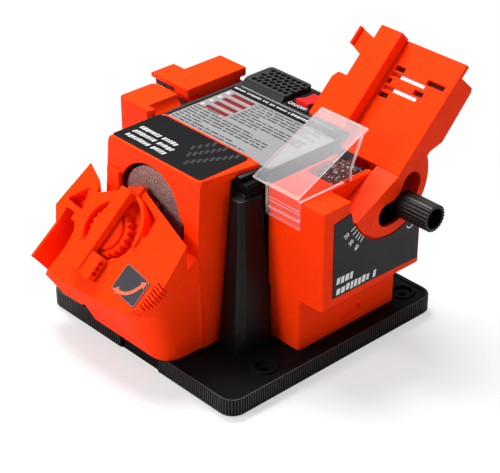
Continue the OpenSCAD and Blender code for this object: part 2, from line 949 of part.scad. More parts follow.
// Front view of the drill head, drawn in X and Z, with rounded upper corners
module drill_front_view(inset) {
  lean = drill_draft / (drill_top - deck_z);
  left = drill_x0 + inset;
  right = drill_x1 - inset;
  top = drill_top - inset;
  r = drill_edge_r;
  bottom = inset > 0 ? deck_z - over : deck_z;
  right_top = right - lean * (top - r - deck_z);
  polygon([
    [left, bottom], [right, bottom], [right_top, top - r],
    [right_top - r, top], [left + r, top], [left, top - r]]);
  translate([left + r, top - r])
    circle(r);
  translate([right_top - r, top - r])
    circle(r);
}

// Outline of the leg at one height, with a wide round corner at the front right
function leg_outline(x0, x1, y0, rx, ry) = concat(
  [[x0, drill_front_low + 2], [x0, y0 + leg_left_corner], [x0 + leg_left_corner, y0]],
  [for (a = [0:9:90]) [x1 - rx + rx * sin(a), y0 + ry - ry * cos(a)]],
  [[x1, drill_front_low + 2]]);

function drill_side_x(z) = drill_x1 - drill_draft * (z - deck_z) / (drill_top - deck_z);

// Front leg under the drill holder, narrower at its foot
module drill_leg(inset) {
  levels = [
    [leg_z0 + inset, leg_x0_low, leg_front_low, leg_foot_corner, leg_foot_corner],
    [leg_nose_z, leg_x0_top, leg_front_top, holder_corner - 2, holder_corner_depth - 2],
    [leg_nose_z + 40, leg_x0_top, leg_front_top, holder_corner - 2, holder_corner_depth - 2]];
  hull()
    for (level = levels)
      translate([0, 0, level[0]])
        linear_extrude(0.1)
          polygon(leg_outline(level[1] + inset, drill_side_x(level[0]) - 0.05 - inset, level[2] + inset,
            level[3] - inset, level[4] - inset));
}

module drill_head() {
  seat_big = 200;
  color(orange)
    difference() {
      union() {
        difference() {
          intersection() {
            along_y([-100, 0])
              drill_front_view(0);
            along_x([drill_x0 - over, drill_x1 + over])
              polygon([
                [drill_front_low, deck_z], [drill_front_low, drill_knee_z], [drill_front_top, drill_top],
                [drill_rear_top, drill_top], [drill_rear_top, drill_top - wall + 0.2],
                [drill_rear(drill_top), drill_top - wall + 0.2], [drill_rear_foot, deck_z]]);
          }
          intersection() {
            along_y([-100, 0])
              drill_front_view(wall);
            along_x([drill_x0, drill_x1])
              polygon([
                [drill_front_low + wall, deck_z - over], [drill_front_low + wall, drill_knee_z],
                [drill_front_top + wall, drill_top - wall], [drill_rear(drill_top) + 5, drill_top - wall],
                [drill_rear_foot + 5, deck_z - over]]);
          }
        }
        difference() {
          drill_leg(0);
          intersection() {
            drill_leg(wall);
            on_seat()
              block([-seat_big, seat_big], [-seat_big, seat_big], [-seat_big, -wall]);
          }
          on_seat()
            block([-seat_big, seat_big], [-seat_big, seat_big], [0, seat_big]);
        }
        posts(drill_posts);
        on_seat()
          rod_z([pin_x, -pin_down], [-pin_len_down - 2, -0.5], pin_r + 4);
      }
      post_holes(drill_posts);
      rod_y([drill_front_low - 10, drill_front_low + 12], opening_r);
      along_y([drill_front_low - 10, drill_front_low + 12])
        polygon([
          [spindle_x + 19, shaft_z + 22], [spindle_x + 38, shaft_z + 3], [spindle_x + 38, shaft_z - 8],
          [spindle_x + 30, drill_knee_z + 1], [spindle_x, drill_knee_z + 1]]);
      on_seat()
        rod_z([pin_x, -pin_down], [-pin_len_down, over], pin_r + fit_gap);
      round_block([drill_x0 + 5, drill_x1 - drill_draft - 4], [drill_front_top + 4, drill_rear_top - 2],
        [drill_top - 0.5, drill_top + over], 3);
    }
}

module drill_label() {
  color("#19191b")
    round_block(
      [drill_x0 + 5 + fit_gap, drill_x1 - drill_draft - 4 - fit_gap],
      [drill_front_top + 4 + fit_gap, drill_rear_top - 2 - fit_gap], [drill_top - 0.5, drill_top + 0.1], 2.9);
}

module holder_pin() {
  color(steel)
    on_seat()
      rod_z([pin_x, -pin_down], [-pin_len_down, pin_len_up], pin_r);
}

// Holder seen from above, with its wide round corner at the front right
module holder_plan() {
  corner_y = face_y - (63.5 - holder_corner) * cos(face_angle);
  polygon(concat(
    [for (a = [0:9:90]) [
      holder_x1 - holder_corner + holder_corner * cos(a), corner_y - holder_corner_depth * sin(a)]],
    [[-67.6, -125.2], [-90, -122.8], [-84.3, -103.3], [-93, -96], [-82, -71.5], [-66, -75.5], [-62, -77.5],
      [-44, -73], [-27, -68.6], [holder_x1, -82.1]]));
}

// Deep left side of the holder, drawn on its face
module holder_side() {
  polygon([[trench_x1, -65.5], [-90, -61.8], [-84.3, -32.2], [-93, -21.1], [-88, -3], [trench_x1, -3]]);
}

// Trench along the left side, open at its lower end
module holder_trench() {
  polygon([
    [trench_x1 - trench_wall, -75], [-89.7, -75], [-87, -61.8], [-81.3, -32.2], [-81.3, -17],
    [trench_x1 - trench_wall, -17]]);
}

module drill_holder() {
  big = 200;
  grooves = 8;
  color(orange)
    difference() {
      union() {
        intersection() {
          linear_extrude(big)
            holder_plan();
          on_face()
            block([-big, big], [-big, big], [-big, 0]);
          on_seat()
            block([-big, big], [-big, big], [seat_gap, big]);
        }
        intersection() {
          on_face()
            translate([0, 0, -trench_depth - trench_wall])
              linear_extrude(trench_depth + trench_wall)
                holder_side();
          block([-big, big], [-big, holder_clear_y], [0, big]);
        }
      }
      on_face() {
        rod_z([clamp_x, clamp_s], [-pocket_depth, big], pocket_r);
        rod_z([clamp_x, clamp_s], [-pocket_depth - 5, over], clamp_screw_r + 1);
        translate([0, 0, -trench_depth])
          linear_extrude(trench_depth + over)
            holder_trench();
        translate([0, 0, -5])
          linear_extrude(5 + over)
            polygon([[-71.7, 0.8], [-80.5, -12], [-67, -13.6]]);
        for (i = [0:grooves - 1])
          translate([holder_x1 - holder_corner, holder_corner - 63.5, 0])
            rotate(-10 - i * 7)
              block([holder_corner - 3, holder_corner + 4], [-0.6, 0.6], [-9, over]);
      }
      on_seat()
        rod_z([pin_x, -pin_down], [-over, pin_len_up + 0.5], pin_r + run_gap);
    }
}

module arrow_label() {
  color("#3b3b3e")
    on_face()
      translate([8.4, -42.4, 0])
        rotate(-8.5)
          round_block([-13.8, 13.8], [-10.8, 10.8], [0, arrow_label_t], 2.5);
}

// Scalloped hand wheel
module clamp_wheel() {
  scallops = 20;
  color(orange)
    on_face()
      translate([clamp_x, clamp_s, -pocket_depth + move_gap])
        difference() {
          cylinder(h = clamp_h, r = clamp_r);
          translate([0, 0, -over])
            cylinder(h = clamp_h + 2 * over, r = clamp_screw_r + run_gap);
          translate([0, 0, clamp_h - 2.5])
            difference() {
              cylinder(h = 4, r = clamp_r - 5);
              cylinder(h = 4, r = clamp_screw_r + 4);
            }
          for (i = [0:scallops - 1])
            rotate((i + 0.5) * 360 / scallops)
              translate([clamp_r + 0.9, 0, -over])
                cylinder(h = clamp_h + 2 * over, r = 2.4);
        }
}

module clamp_screw() {
  top = clamp_h - pocket_depth + bar_gap + bar_h + 1;
  color(steel)
    on_face()
      rod_z([clamp_x, clamp_s], [-pocket_depth - 4, top], clamp_screw_r);
}

// Bar across the hand wheel, with the notched end block that presses on the drill
module clamp_bar() {
  bottom = clamp_h - pocket_depth + move_gap + bar_gap;
  top = bottom + bar_h;
  end_y = [-bar_len / 2 - 2, -clamp_r + 6];
  color(orange)
    on_face()
      translate([clamp_x, clamp_s, 0])
        rotate(bar_angle)
          difference() {
            union() {
              round_block([-bar_w / 2, bar_w / 2], [-bar_len / 2, bar_len / 2], [bottom, top], 2);
              round_block([-bar_w / 2, end_x1], end_y, [bottom, top - 1], 2);
              round_block([-bar_w / 2, end_x1], [end_y[0], -clamp_r - 1.5], [0.5, top - 1], 2);
              translate([0, 0, bottom])
                cylinder(h = bar_h + 0.8, r = bar_w / 2 + 2);
            }
            translate([0, 0, bottom - over])
              cylinder(h = bar_h + 4, r = clamp_screw_r + 0.02);
            for (i = [0:2])
              translate([0, end_y[0] + 3 + i * 4, 0])
                block([end_x1 - 2.5, end_x1 + over], [0, 2], [bottom + 1.5, top]);
          }
}

module knife_head() {
  inner_x = [knife_x0 + wall, knife_x1 - wall];
  inner_y = [head_y0 + wall, head_y1 - wall];
  inner_z = step_z + wall;
  color(orange)
    difference() {
      union() {
        round_block([knife_x0, knife_x1], [head_y0, head_y1], [step_z, knife_body_z], 4);
        round_block([knife_foot_x0, knife_x1], [head_y0, head_y1], [deck_z, step_z + over], 2);
        round_block([knife_x0, knife_x1], [head_y0, slot_y0], [knife_body_z - over, knife_top], 4);
        round_block([knife_x0, knife_x1], [slot_y1, head_y1], [knife_body_z - over, knife_rear_z], 4);
        block(
          [guide_x1 - rib_w, guide_x1], [slot_y1 + 6, head_y1 - 4], [knife_rear_z - over, guide_z]);
      }
      block([knife_foot_x0 + wall, inner_x[1]], inner_y, [deck_z - over, inner_z + over]);
      block(inner_x, inner_y, [inner_z, knife_body_z - wall]);
      block(inner_x, [slot_y1 + wall, inner_y[1]], [inner_z, knife_rear_z - wall]);
      block(inner_x, [inner_y[0], slot_y0 - wall], [inner_z, knife_top - wall - 10]);
      block(
        [knife_wheel_x - 2, knife_wheel_x + knife_wheel_w + 2], [slot_y0 + 0.6, slot_y1 + wall + over],
        [shaft_z, knife_rear_z - wall]);
      rod_x([knife_x1 - wall - over, knife_x1 + over], journal_r + 3);
      rod_y([head_y0 + 6, slot_y0 + over], scoop_r, knife_x1 + 5, knife_top + 2);
      for (p = guide_points)
        rod_z(p, [guide_z - 8, guide_z + over], guide_screw_r + fit_gap);
    }
  color(orange)
    difference() {
      posts(knife_posts);
      post_holes(knife_posts);
    }
}

// T-shaped plate above the knife head, open below on its left
module knife_guide() {
  top = guide_z + guide_t;
  color(orange)
    difference() {
      union() {
        round_block([knife_x0 - 10, guide_x1], [guide_front, guide_front + 21], [guide_z, top], 2);
        round_block([knife_x0 + 3, guide_x1], [guide_front + 17, head_y1], [guide_z, top], 2);
      }
      for (p = guide_points) {
        rod_z(p, [guide_z - over, top + over], guide_screw_r + fit_gap);
        rod_z(p, [top - guide_head_depth, top + over], guide_head_r + fit_gap);
      }
    }
}

module guide_screws() {
  head_z = guide_z + guide_t - guide_head_depth;
  color(steel)
    for (p = guide_points) {
      rod_z(p, [guide_z - 7, head_z + 0.1], guide_screw_r);
      rod_z(p, [head_z, head_z + 2.2], guide_head_r);
    }
}

module knife_wheel() {
  color("#a89b94")
    difference() {
      rod_x([knife_wheel_x, knife_wheel_x + knife_wheel_w], knife_wheel_r);
      rod_x([knife_wheel_x - over, knife_wheel_x + knife_wheel_w + over], shaft_r + 0.02);
    }
}

module knife_nut() {
  color(steel)
    translate([knife_wheel_x - nut_w, shaft_y, shaft_z])
      rotate([0, 90, 0])
        nut();
}

module plane_head() {
  x0 = plane_x0;
  x1 = plane_x1;
  inner_y0 = head_y0 + wall;
  inner_y1 = head_y1 - wall;
  inner_z = step_z + wall;
  color(orange)
    difference() {
      union() {
        difference() {
          union() {
            round_block([x0, x1], [head_y0, head_y1], [step_z, plane_top], 3);
            round_block([plane_foot_x0, plane_foot_x1], [head_y0, head_y1], [deck_z, step_z + over], 3);
          }
          block(
            [plane_foot_x0 + wall, plane_foot_x1 - wall], [inner_y0, inner_y1],
            [deck_z - over, inner_z + over]);
          block([x0 + wall, x1 - wall], [inner_y0, 0], [inner_z, plane_top - wall]);
          block([pocket_x0, x1 - wall], [-over, inner_y1], [inner_z, tilt_z - hub_r - 4]);
          block([chamber_x0, chamber_x1], [wall, inner_y1], [inner_z + wall, plane_top - wall]);
          block([chamber_x0, chamber_x1], [deck_rear, inner_y1], [plane_top - wall - over, plane_top + over]);
          block([x0 - over, pocket_x0 + over], [tilt_y + 5, head_y1 + over], [tilt_z - 7, plane_top + over]);
        }
        posts(plane_posts);
      }
      post_holes(plane_posts);
      rod_x([pocket_x0, x1 + over], hub_r + move_gap, tilt_y, tilt_z);
      rod_x([x0 - over, chamber_x0 + over], journal_r + 3);
      rod_x([pocket_x0 - stud_seat, pocket_x0 + over], stud_r + fit_gap / 2, lock_y, lock_z);
      block(
        [shield_x1 - shield_t - peg_gap, shield_x1 + peg_gap], [peg_y0 - peg_gap, peg_y1 + peg_gap],
        [plane_top - peg_depth - 0.5, plane_top + over]);
    }
}

module plane_label() {
  color("#1a1a1c")
    difference() {
      along_x([plane_x1, plane_x1 + label_t])
        polygon([[-14.7, 63.5], [70.5, 61.5], [70.5, 124], [-1, 124.4], [-14.7, 122]]);
      rod_x([plane_x1 - over, plane_x1 + label_t + over], hub_r + move_gap + 1, tilt_y, tilt_z);
    }
}

module plane_drum() {
  color("#5a3230")
    difference() {
      rod_x([drum_x0, drum_x0 + drum_w], drum_r);
      rod_x([drum_x0 - over, drum_x0 + drum_w + over], shaft_r + 0.02);
      rod_x([drum_x0 + drum_w - nut_w - 2, drum_x0 + drum_w + over], nut_r + 2);
    }
}

module drum_nut() {
  color(steel)
    translate([drum_x0 + drum_w - nut_w - 2, shaft_y, shaft_z])
      rotate([0, 90, 0])
        nut();
}

// Clear guard: sloped panel, right side wall with its peg, and front skirt
module shield() {
  rise = [shield_reach * cos(shield_angle), shield_reach * sin(shield_angle)];
  rear_y = shield_front + rise[0];
  rear_z = shield_z + rise[1];
  color("#dfe6ea", 0.5) {
    translate([0, shield_front, shield_z])
      rotate([shield_angle, 0, 0])
        block([shield_x0, shield_x1], [0, shield_reach + 6], [0, shield_t]);
    along_x([shield_x1 - shield_t, shield_x1])
      polygon([
        [shield_front + 3, plane_top + 0.2], [peg_y1, plane_top + 0.2], [peg_y1 + 0.3, plane_top + 8],
        [rear_y, rear_z + 1], [shield_front, shield_z + 1], [shield_front, plane_top + 0.2]]);
    block([shield_x1 - shield_t, shield_x1], [peg_y0, peg_y1], [plane_top - peg_depth, plane_top + 0.3]);
    block([plane_x0 + 1, shield_x1], [shield_front, shield_front + shield_t], [shield_skirt_z, shield_z + 1]);
  }
}

// Half disc of the hub and the arc slot, drawn in the table's own directions
module hub_outline() {
  chord_tilt = -16.2;
  difference() {
    circle(hub_r);
    rotate(chord_tilt)
      translate([-2 * hub_r, 1.85])
        square([4 * hub_r, 2 * hub_r]);
  }
}

// Slot that follows an arc about the tilt axis
module arc_slot(half, from, to) {
  difference() {
    circle(slot_r + half);
    circle(slot_r - half);
    rotate(from)
      translate([-3 * hub_r, -6 * hub_r])
        square([6 * hub_r, 6 * hub_r]);
    rotate(to)
      translate([-3 * hub_r, 0])
        square([6 * hub_r, 6 * hub_r]);
  }
  for (a = [from, to])
    translate(polar(slot_r, a))
      circle(half);
}

module blade_table() {
  slot_w = 3.2;
  cross_slots = [[table_x0 + 2.3, table_x0 + 34.5, 72.5], [table_x0 + 2.3, table_x0 + 33.8, 61.8]];
  windows = [
    [table_x0 + 4, table_x0 + 12.7, 77.5], [table_x0 + 3, table_x0 + 7, 67],
    [table_x0 + 2.3, table_x0 + 11.5, 56], [table_x0 + 34, table_x0 + 49.8, 76.3],
    [table_x0 + 28.5, table_x0 + 37, 66.3]];
  color(orange)
    on_table()
      difference() {
        union() {
          block([table_x0, hub_x1], [table_u0, table_u1], [-table_t, 0]);
          along_x([hub_x0, hub_x1])
            hub_outline();
          along_x([hub_x1 - 3.5, hub_x1])
            polygon([
              [20, -1], [table_u1 - 9.3, -1], [table_u1 - 8.5, -19.2], [table_u1 - 11.4, -21.2],
              [47.4, -22.9], [36.1, -16.4], [20, -16.4]]);
          along_x([table_x0, table_x0 + 3])
            polygon([[50, -1], [table_u1 - 9.3, -1], [table_u1 - 8.5, -12], [60, -14]]);
          for (u = [50, table_u1 - 12])
            block([table_x0 + 1, hub_x1 - 1], [u, u + 2.5], [-10, -1]);
        }
        for (s = cross_slots)
          block([s[0], s[1]], [s[2] - slot_w / 2, s[2] + slot_w / 2], [-table_t - over, over]);
        for (w = windows)
          block([w[0], w[1]], [w[2] - 2, w[2] + 2], [-table_t - over, over]);
        along_x([slot_floor_x, hub_x1 + over])
          arc_slot(slot_half, slot_from - table_angle, slot_to - table_angle);
        along_x([hub_x0 - over, slot_floor_x + over])
          arc_slot(stud_r + move_gap, slot_from - table_angle, slot_to - table_angle);
      }
}

// Side stop: a raised plate with a stepped left edge, on a foot that runs on the table
module blade_fence() {
  n = [fence_lift, fence_lift + fence_t];
  color(orange)
    on_table()
      union() {
        translate([0, 0, n[0]])
          linear_extrude(fence_t)
            polygon([
              [fence_x0, fence_u0], [fence_x1, fence_u0], [fence_x1, fence_u1], [fence_x0 + 14, fence_u1],
              [fence_x0 + 14, fence_u1 - 11], [fence_x0 + 0.5, fence_u1 - 7.5], [fence_x0, fence_u1 - 21.5],
              [fence_x0 + 11, fence_u1 - 26], [fence_x0 + 11, fence_u1 - 43.5],
              [fence_x0 + 3, fence_u1 - 43.5], [fence_x0, fence_u1 - 48.5]]);
        block([fence_x1 - 5, fence_x1], [fence_u0, fence_u1], [move_gap, n[1]]);
        block([fence_x0, fence_x0 + 2], [fence_u1 - 22, fence_u1 - 7.5], [n[0], n[1] + 3]);
      }
}

module lock_stud() {
  color(steel)
    rod_x([pocket_x0 - stud_seat, hub_x1 + 12], stud_r, lock_y, lock_z);
}

module lock_washer() {
  color(steel)
    difference() {
      rod_x([slot_floor_x + 0.3, slot_floor_x + 0.3 + washer_t], slot_half - 1, lock_y, lock_z);
      rod_x([slot_floor_x - over, slot_floor_x + 3], stud_r + run_gap, lock_y, lock_z);
    }
}

// Fluted hollow knob with a plain shank that enters the hub's arc slot
module lock_knob() {
  flutes = 24;
  shank_x = slot_floor_x + washer_t + 0.5;
  grip_x = hub_x1 + 0.8;
  color("#1b1b1d")
    difference() {
      union() {
        rod_x([shank_x, grip_x + over], slot_half - 1, lock_y, lock_z);
        rod_x([grip_x, knob_end], knob_r, lock_y, lock_z);
      }
      rod_x([shank_x - over, hub_x1 + 14], stud_r + run_gap, lock_y, lock_z);
      rod_x([knob_end - 12, knob_end + over], knob_r - 2.6, lock_y, lock_z);
      for (i = [0:flutes - 1])
        translate([0, lock_y, lock_z])
          rotate([i * 360 / flutes, 0, 0])
            rod_x([grip_x + 3, knob_end + over], 0.8, 0, knob_r + 0.25);
    }
}

base_plate();
rubber_feet();
base_screws();
housing();
top_cover();
cover_screws();
instruction_panel();
rocker();
switch_body();
power_inlet();
bearing_frame();
frame_screws();
shaft_bearings();
spindle_bearings();
stator();
field_coils();
brush_holders();
carbon_brushes();
main_shaft();
rotor();
commutator();
cooling_fan();
shaft_gear();
drill_spindle();
spindle_gear();
drill_wheel();
wheel_nut();
drill_head();
drill_label();
drill_holder();
holder_pin();
arrow_label();
clamp_wheel();
clamp_screw();
clamp_bar();
knife_head();
knife_guide();
guide_screws();
knife_wheel();
knife_nut();
plane_head();
plane_label();
plane_drum();
drum_nut();
shield();
blade_table();
blade_fence();
lock_knob();
lock_stud();
lock_washer();
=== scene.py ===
"""Looks of the electric multipurpose sharpener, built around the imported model."""
import json
import math
import random

import bmesh
import bpy
from mathutils import Matrix, Vector
from mathutils.geometry import delaunay_2d_cdt, intersect_line_line_2d


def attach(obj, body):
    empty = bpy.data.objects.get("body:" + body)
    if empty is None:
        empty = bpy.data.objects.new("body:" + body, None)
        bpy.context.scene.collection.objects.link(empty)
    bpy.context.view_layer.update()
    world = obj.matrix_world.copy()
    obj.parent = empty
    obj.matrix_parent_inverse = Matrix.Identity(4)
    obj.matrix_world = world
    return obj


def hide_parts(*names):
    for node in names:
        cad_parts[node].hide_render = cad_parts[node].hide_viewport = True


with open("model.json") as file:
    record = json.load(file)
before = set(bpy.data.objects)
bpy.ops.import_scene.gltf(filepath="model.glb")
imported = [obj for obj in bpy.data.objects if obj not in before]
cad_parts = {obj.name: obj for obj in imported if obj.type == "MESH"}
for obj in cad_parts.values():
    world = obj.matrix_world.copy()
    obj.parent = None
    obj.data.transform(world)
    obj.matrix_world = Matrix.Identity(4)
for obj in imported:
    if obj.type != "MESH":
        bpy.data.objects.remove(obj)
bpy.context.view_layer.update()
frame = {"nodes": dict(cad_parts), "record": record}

MM = 0.001
nodes = frame["nodes"]
body_of = {node: body for body, members in frame["record"]["behaviour"]["bodies"].items() for node in members}
slot_of = {row["node"]: row["material_slot"] for row in frame["record"]["subparts"]}

# Camera at the photograph's view: 1660 pixels of focal length on a picture 500 pixels wide
CAMERA_AZIMUTH = math.radians(47.2)
CAMERA_ELEVATION = math.radians(31.0)
CAMERA_PLACE = Vector((762.6, -697.74, 681.04)) * MM
PICTURE_WIDTH = 500
FOCAL_PIXELS = 1660
SENSOR_MM = 36


def make_camera():
    data = bpy.data.cameras.new("camera")
    data.sensor_width = SENSOR_MM
    data.lens = SENSOR_MM * FOCAL_PIXELS / PICTURE_WIDTH
    data.clip_start = 0.01
    data.clip_end = 50
    camera = bpy.data.objects.new("camera", data)
    flat = math.cos(CAMERA_ELEVATION)
    back = Vector((
        math.sin(CAMERA_AZIMUTH) * flat, -math.cos(CAMERA_AZIMUTH) * flat, math.sin(CAMERA_ELEVATION)))
    camera.location = CAMERA_PLACE
    camera.rotation_mode = "QUATERNION"
    camera.rotation_quaternion = (-back).to_track_quat("-Z", "Y")
    bpy.context.scene.collection.objects.link(camera)
    bpy.context.scene.camera = camera


make_camera()


class Shader:
    """A material's node tree, with short calls for the nodes that the finishes share."""

    def __init__(self, name):
        self.material = bpy.data.materials.new(name)
        self.material.use_nodes = True
        self.tree = self.material.node_tree
        self.surface = self.tree.nodes["Principled BSDF"]
        self.place = self.add("ShaderNodeTexCoord").outputs["Object"]

    def add(self, kind, **values):
        node = self.tree.nodes.new(kind)
        for key, value in values.items():
            setattr(node, key, value)
        return node

    def link(self, source, target):
        self.tree.links.new(source, target)

    def set(self, **values):
        for key, value in values.items():
            self.surface.inputs[key.replace("_", " ")].default_value = value
        return self

    def noise(self, per_metre, detail=3.0, roughness=0.5, stretch=(1, 1, 1)):
        node = self.add("ShaderNodeTexNoise")
        node.inputs["Scale"].default_value = per_metre
        node.inputs["Detail"].default_value = detail
        node.inputs["Roughness"].default_value = roughness
        scaled = self.add("ShaderNodeMapping")
        scaled.inputs["Scale"].default_value = stretch
        self.link(self.place, scaled.inputs["Vector"])
        self.link(scaled.outputs["Vector"], node.inputs["Vector"])
        return node.outputs["Fac"]

    def cells(self, per_metre):
        node = self.add("ShaderNodeTexVoronoi", feature="F1")
        node.inputs["Scale"].default_value = per_metre
        self.link(self.place, node.inputs["Vector"])
        return node

    def ramp(self, factor, stops):
        node = self.add("ShaderNodeValToRGB")
        ramp = node.color_ramp
        while len(ramp.elements) < len(stops):
            ramp.elements.new(0.5)
        for element, (place, colour) in zip(ramp.elements, stops):
            element.position = place
            element.color = (*colour, 1)
        self.link(factor, node.inputs["Fac"])
        return node.outputs["Color"]

    def span(self, factor, low, high):
        node = self.add("ShaderNodeMapRange")
        node.inputs["To Min"].default_value = low
        node.inputs["To Max"].default_value = high
        self.link(factor, node.inputs["Value"])
        return node.outputs["Result"]

    def colour(self, socket):
        self.link(socket, self.surface.inputs["Base Color"])
        return self

    def rough(self, factor, low, high):
        self.link(self.span(factor, low, high), self.surface.inputs["Roughness"])
        return self

    def bump(self, height, distance_mm):
        node = self.add("ShaderNodeBump")
        node.inputs["Distance"].default_value = distance_mm * MM
        node.inputs["Strength"].default_value = 1.0
        self.link(height, node.inputs["Height"])
        self.link(node.outputs["Normal"], self.surface.inputs["Normal"])
        return self


def shade(colour, factor):
    return tuple(min(1.0, channel * factor) for channel in colour)


def varied(colour, spread):
    """Stops of a ramp from a little darker to a little lighter than a colour."""
    return [(0.3, shade(colour, 1 - spread)), (0.7, shade(colour, 1 + spread))]


def moulded(name, colour, gloss, grain_mm, relief_mm, spread, shine):
    """Moulded plastic: faint flow marks in its colour, and a fine grain in its gloss and surface."""
    shader = Shader(name)
    flow = shader.noise(28, 4, 0.55)
    shader.colour(shader.ramp(flow, varied(colour, spread)))
    grain = shader.noise(1000 / grain_mm, 2, 0.6)
    shader.rough(grain, gloss - 0.06, gloss + 0.08)
    shader.bump(grain, relief_mm)
    shader.set(Specular_IOR_Level=shine)
    return shader


METAL_SPREAD = 0.12


def metal(name, colour, gloss, stretch):
    """Bare metal with fine tool marks along one direction."""
    shader = Shader(name)
    marks = shader.noise(900, 3, 0.6, stretch)
    shader.colour(shader.ramp(marks, varied(colour, METAL_SPREAD)))
    shader.rough(marks, gloss - 0.08, gloss + 0.12)
    shader.bump(marks, 0.02)
    shader.set(Metallic=1.0)
    return shader


def grit(name, colours, grains_per_mm, relief_mm):
    """Bonded abrasive: grains of several shades that stand out of the bond."""
    shader = Shader(name)
    grains = shader.cells(grains_per_mm * 1000)
    tone = shader.add("ShaderNodeSeparateColor")
    shader.link(grains.outputs["Color"], tone.inputs["Color"])
    steps = [(i / len(colours), colour) for i, colour in enumerate(colours)]
    shader.colour(shader.ramp(tone.outputs["Red"], steps))
    shader.bump(grains.outputs["Distance"], relief_mm)
    shader.rough(tone.outputs["Green"], 0.55, 0.9)
    shader.set(Specular_IOR_Level=0.12)
    return shader


def clear(name, alpha, colour, gloss, alpha_high=None, heights_mm=(130, 166)):
    """Clear moulding with a faint haze: alpha is how much of its own colour it shows, at two heights."""
    shader = Shader(name)
    haze = shader.noise(60, 3, 0.5)
    shader.colour(shader.ramp(haze, [(0.3, shade(colour, 0.96)), (0.7, colour)]))
    shader.rough(haze, gloss, gloss + 0.05)
    shader.set(Alpha=alpha, IOR=1.49, Specular_IOR_Level=0.06)
    if alpha_high:
        split = shader.add("ShaderNodeSeparateXYZ")
        shader.link(shader.place, split.inputs["Vector"])
        rise = shader.add("ShaderNodeMapRange")
        rise.inputs["From Min"].default_value = heights_mm[0] * MM
        rise.inputs["From Max"].default_value = heights_mm[1] * MM
        rise.inputs["To Min"].default_value = alpha
        rise.inputs["To Max"].default_value = alpha_high
        shader.link(split.outputs["Z"], rise.inputs["Value"])
        shader.link(rise.outputs["Result"], shader.surface.inputs["Alpha"])
    return shader


ORANGE = (0.92, 0.034, 0.001)
BLACK = (0.003, 0.003, 0.0033)
WHEEL_GRAINS = [(0.09, 0.035, 0.028), (0.18, 0.08, 0.068), (0.36, 0.22, 0.2)]
KNIFE_GRAINS = [(0.3, 0.26, 0.24), (0.42, 0.37, 0.34), (0.52, 0.47, 0.44)]
DRUM_RED = (0.05, 0.005, 0.005)
DRUM_GRAINS = [DRUM_RED] * 6 + [shade(DRUM_RED, 0.4)] * 6 + [(0.5, 0.4, 0.4)]
# Moulded finishes: colour, gloss, grain and relief in millimetres, spread of the colour, shine
MOULDED = {
    "orange_plastic": (ORANGE, 0.42, 0.5, 0.012, 0.05, 0.04),
    "black_plastic": (BLACK, 0.34, 0.45, 0.02, 0.25, 0.16),
    "base_black": (BLACK, 0.5, 0.45, 0.02, 0.25, 0.05),
    # rim_grey and rib_black are painted highlights on the base's rim and ribs
    "rim_grey": ((0.06, 0.057, 0.057), 0.35, 0.45, 0.01, 0.2, 0.4),
    "rib_black": ((0.026, 0.024, 0.024), 0.4, 0.45, 0.02, 0.2, 0.3),
    "lid_black": ((0.017, 0.017, 0.0175), 0.5, 0.45, 0.03, 0.2, 0.2),
    "panel_grey": ((0.2, 0.202, 0.202), 0.45, 0.3, 0.004, 0.04, 0.2),
    "label_black": ((0.011, 0.0112, 0.012), 0.4, 0.3, 0.006, 0.2, 0.14),
    # top_black is a darker copy of the label black for upward faces, painted shade against the strong top
    # lamp
    "top_black": ((0.0035, 0.0035, 0.004), 0.45, 0.3, 0.006, 0.2, 0.06),
    "label_grey": ((0.032, 0.03, 0.037), 0.4, 0.3, 0.006, 0.12, 0.2),
    "red_plastic": ((0.72, 0.008, 0.008), 0.18, 0.6, 0.004, 0.06, 0.4),
    "foot_rubber": ((0.015, 0.015, 0.015), 0.75, 0.8, 0.05, 0.2, 0.2),
    "brush_carbon": ((0.018, 0.018, 0.02), 0.5, 0.4, 0.02, 0.2, 0.3),
    "brown_fibre": ((0.14, 0.05, 0.02), 0.5, 0.8, 0.02, 0.15, 0.3),
    # deep_red is painted shade: a dark red put where deep slots and parts under others lie in shade
    "deep_red": ((0.06, 0.003, 0.002), 0.5, 0.5, 0.01, 0.15, 0.1),
    "print_white": ((0.78, 0.78, 0.78), 0.45, 0.3, 0.004, 0.06, 0.2),
    # top_white is a darker copy of the white print for upward faces, painted shade against the strong top
    # lamp
    "top_white": ((0.42, 0.42, 0.42), 0.45, 0.3, 0.004, 0.06, 0.2),
    "print_grey": ((0.03, 0.03, 0.031), 0.45, 0.3, 0.004, 0.3, 0.1),
    "print_faint": ((0.017, 0.016, 0.018), 0.4, 0.3, 0.004, 0.3, 0.1),
    "print_dark": ((0.018, 0.018, 0.019), 0.5, 0.3, 0.004, 0.2, 0.1),
    "print_red": ((0.13, 0.01, 0.011), 0.5, 0.3, 0.004, 0.08, 0.1),
    "print_pink": ((0.28, 0.2, 0.2), 0.5, 0.3, 0.004, 0.05, 0.1),
    "print_salmon": ((0.6, 0.12, 0.06), 0.5, 0.3, 0.004, 0.05, 0.1),
}
# Metals: colour, gloss, and how the tool marks are stretched
METALS = {
    "steel": ((0.58, 0.59, 0.6), 0.3, (1, 1, 0.08)),
    "motor_iron": ((0.2, 0.205, 0.215), 0.42, (6, 0.3, 0.3)),
    "copper": ((0.72, 0.32, 0.15), 0.3, (0.1, 1, 1)),
    "gear_brass": ((0.78, 0.55, 0.2), 0.28, (1, 1, 0.3)),
    "cast_alloy": ((0.5, 0.505, 0.51), 0.5, (1, 1, 1)),
}
# Abrasives: colours of the grains, grains to a millimetre, relief in millimetres
GRITS = {
    "wheel_grit": (WHEEL_GRAINS, 2.2, 0.12),
    "knife_grit": (KNIFE_GRAINS, 2.2, 0.12),
    "drum_grit": (DRUM_GRAINS, 0.9, 0.25),
}
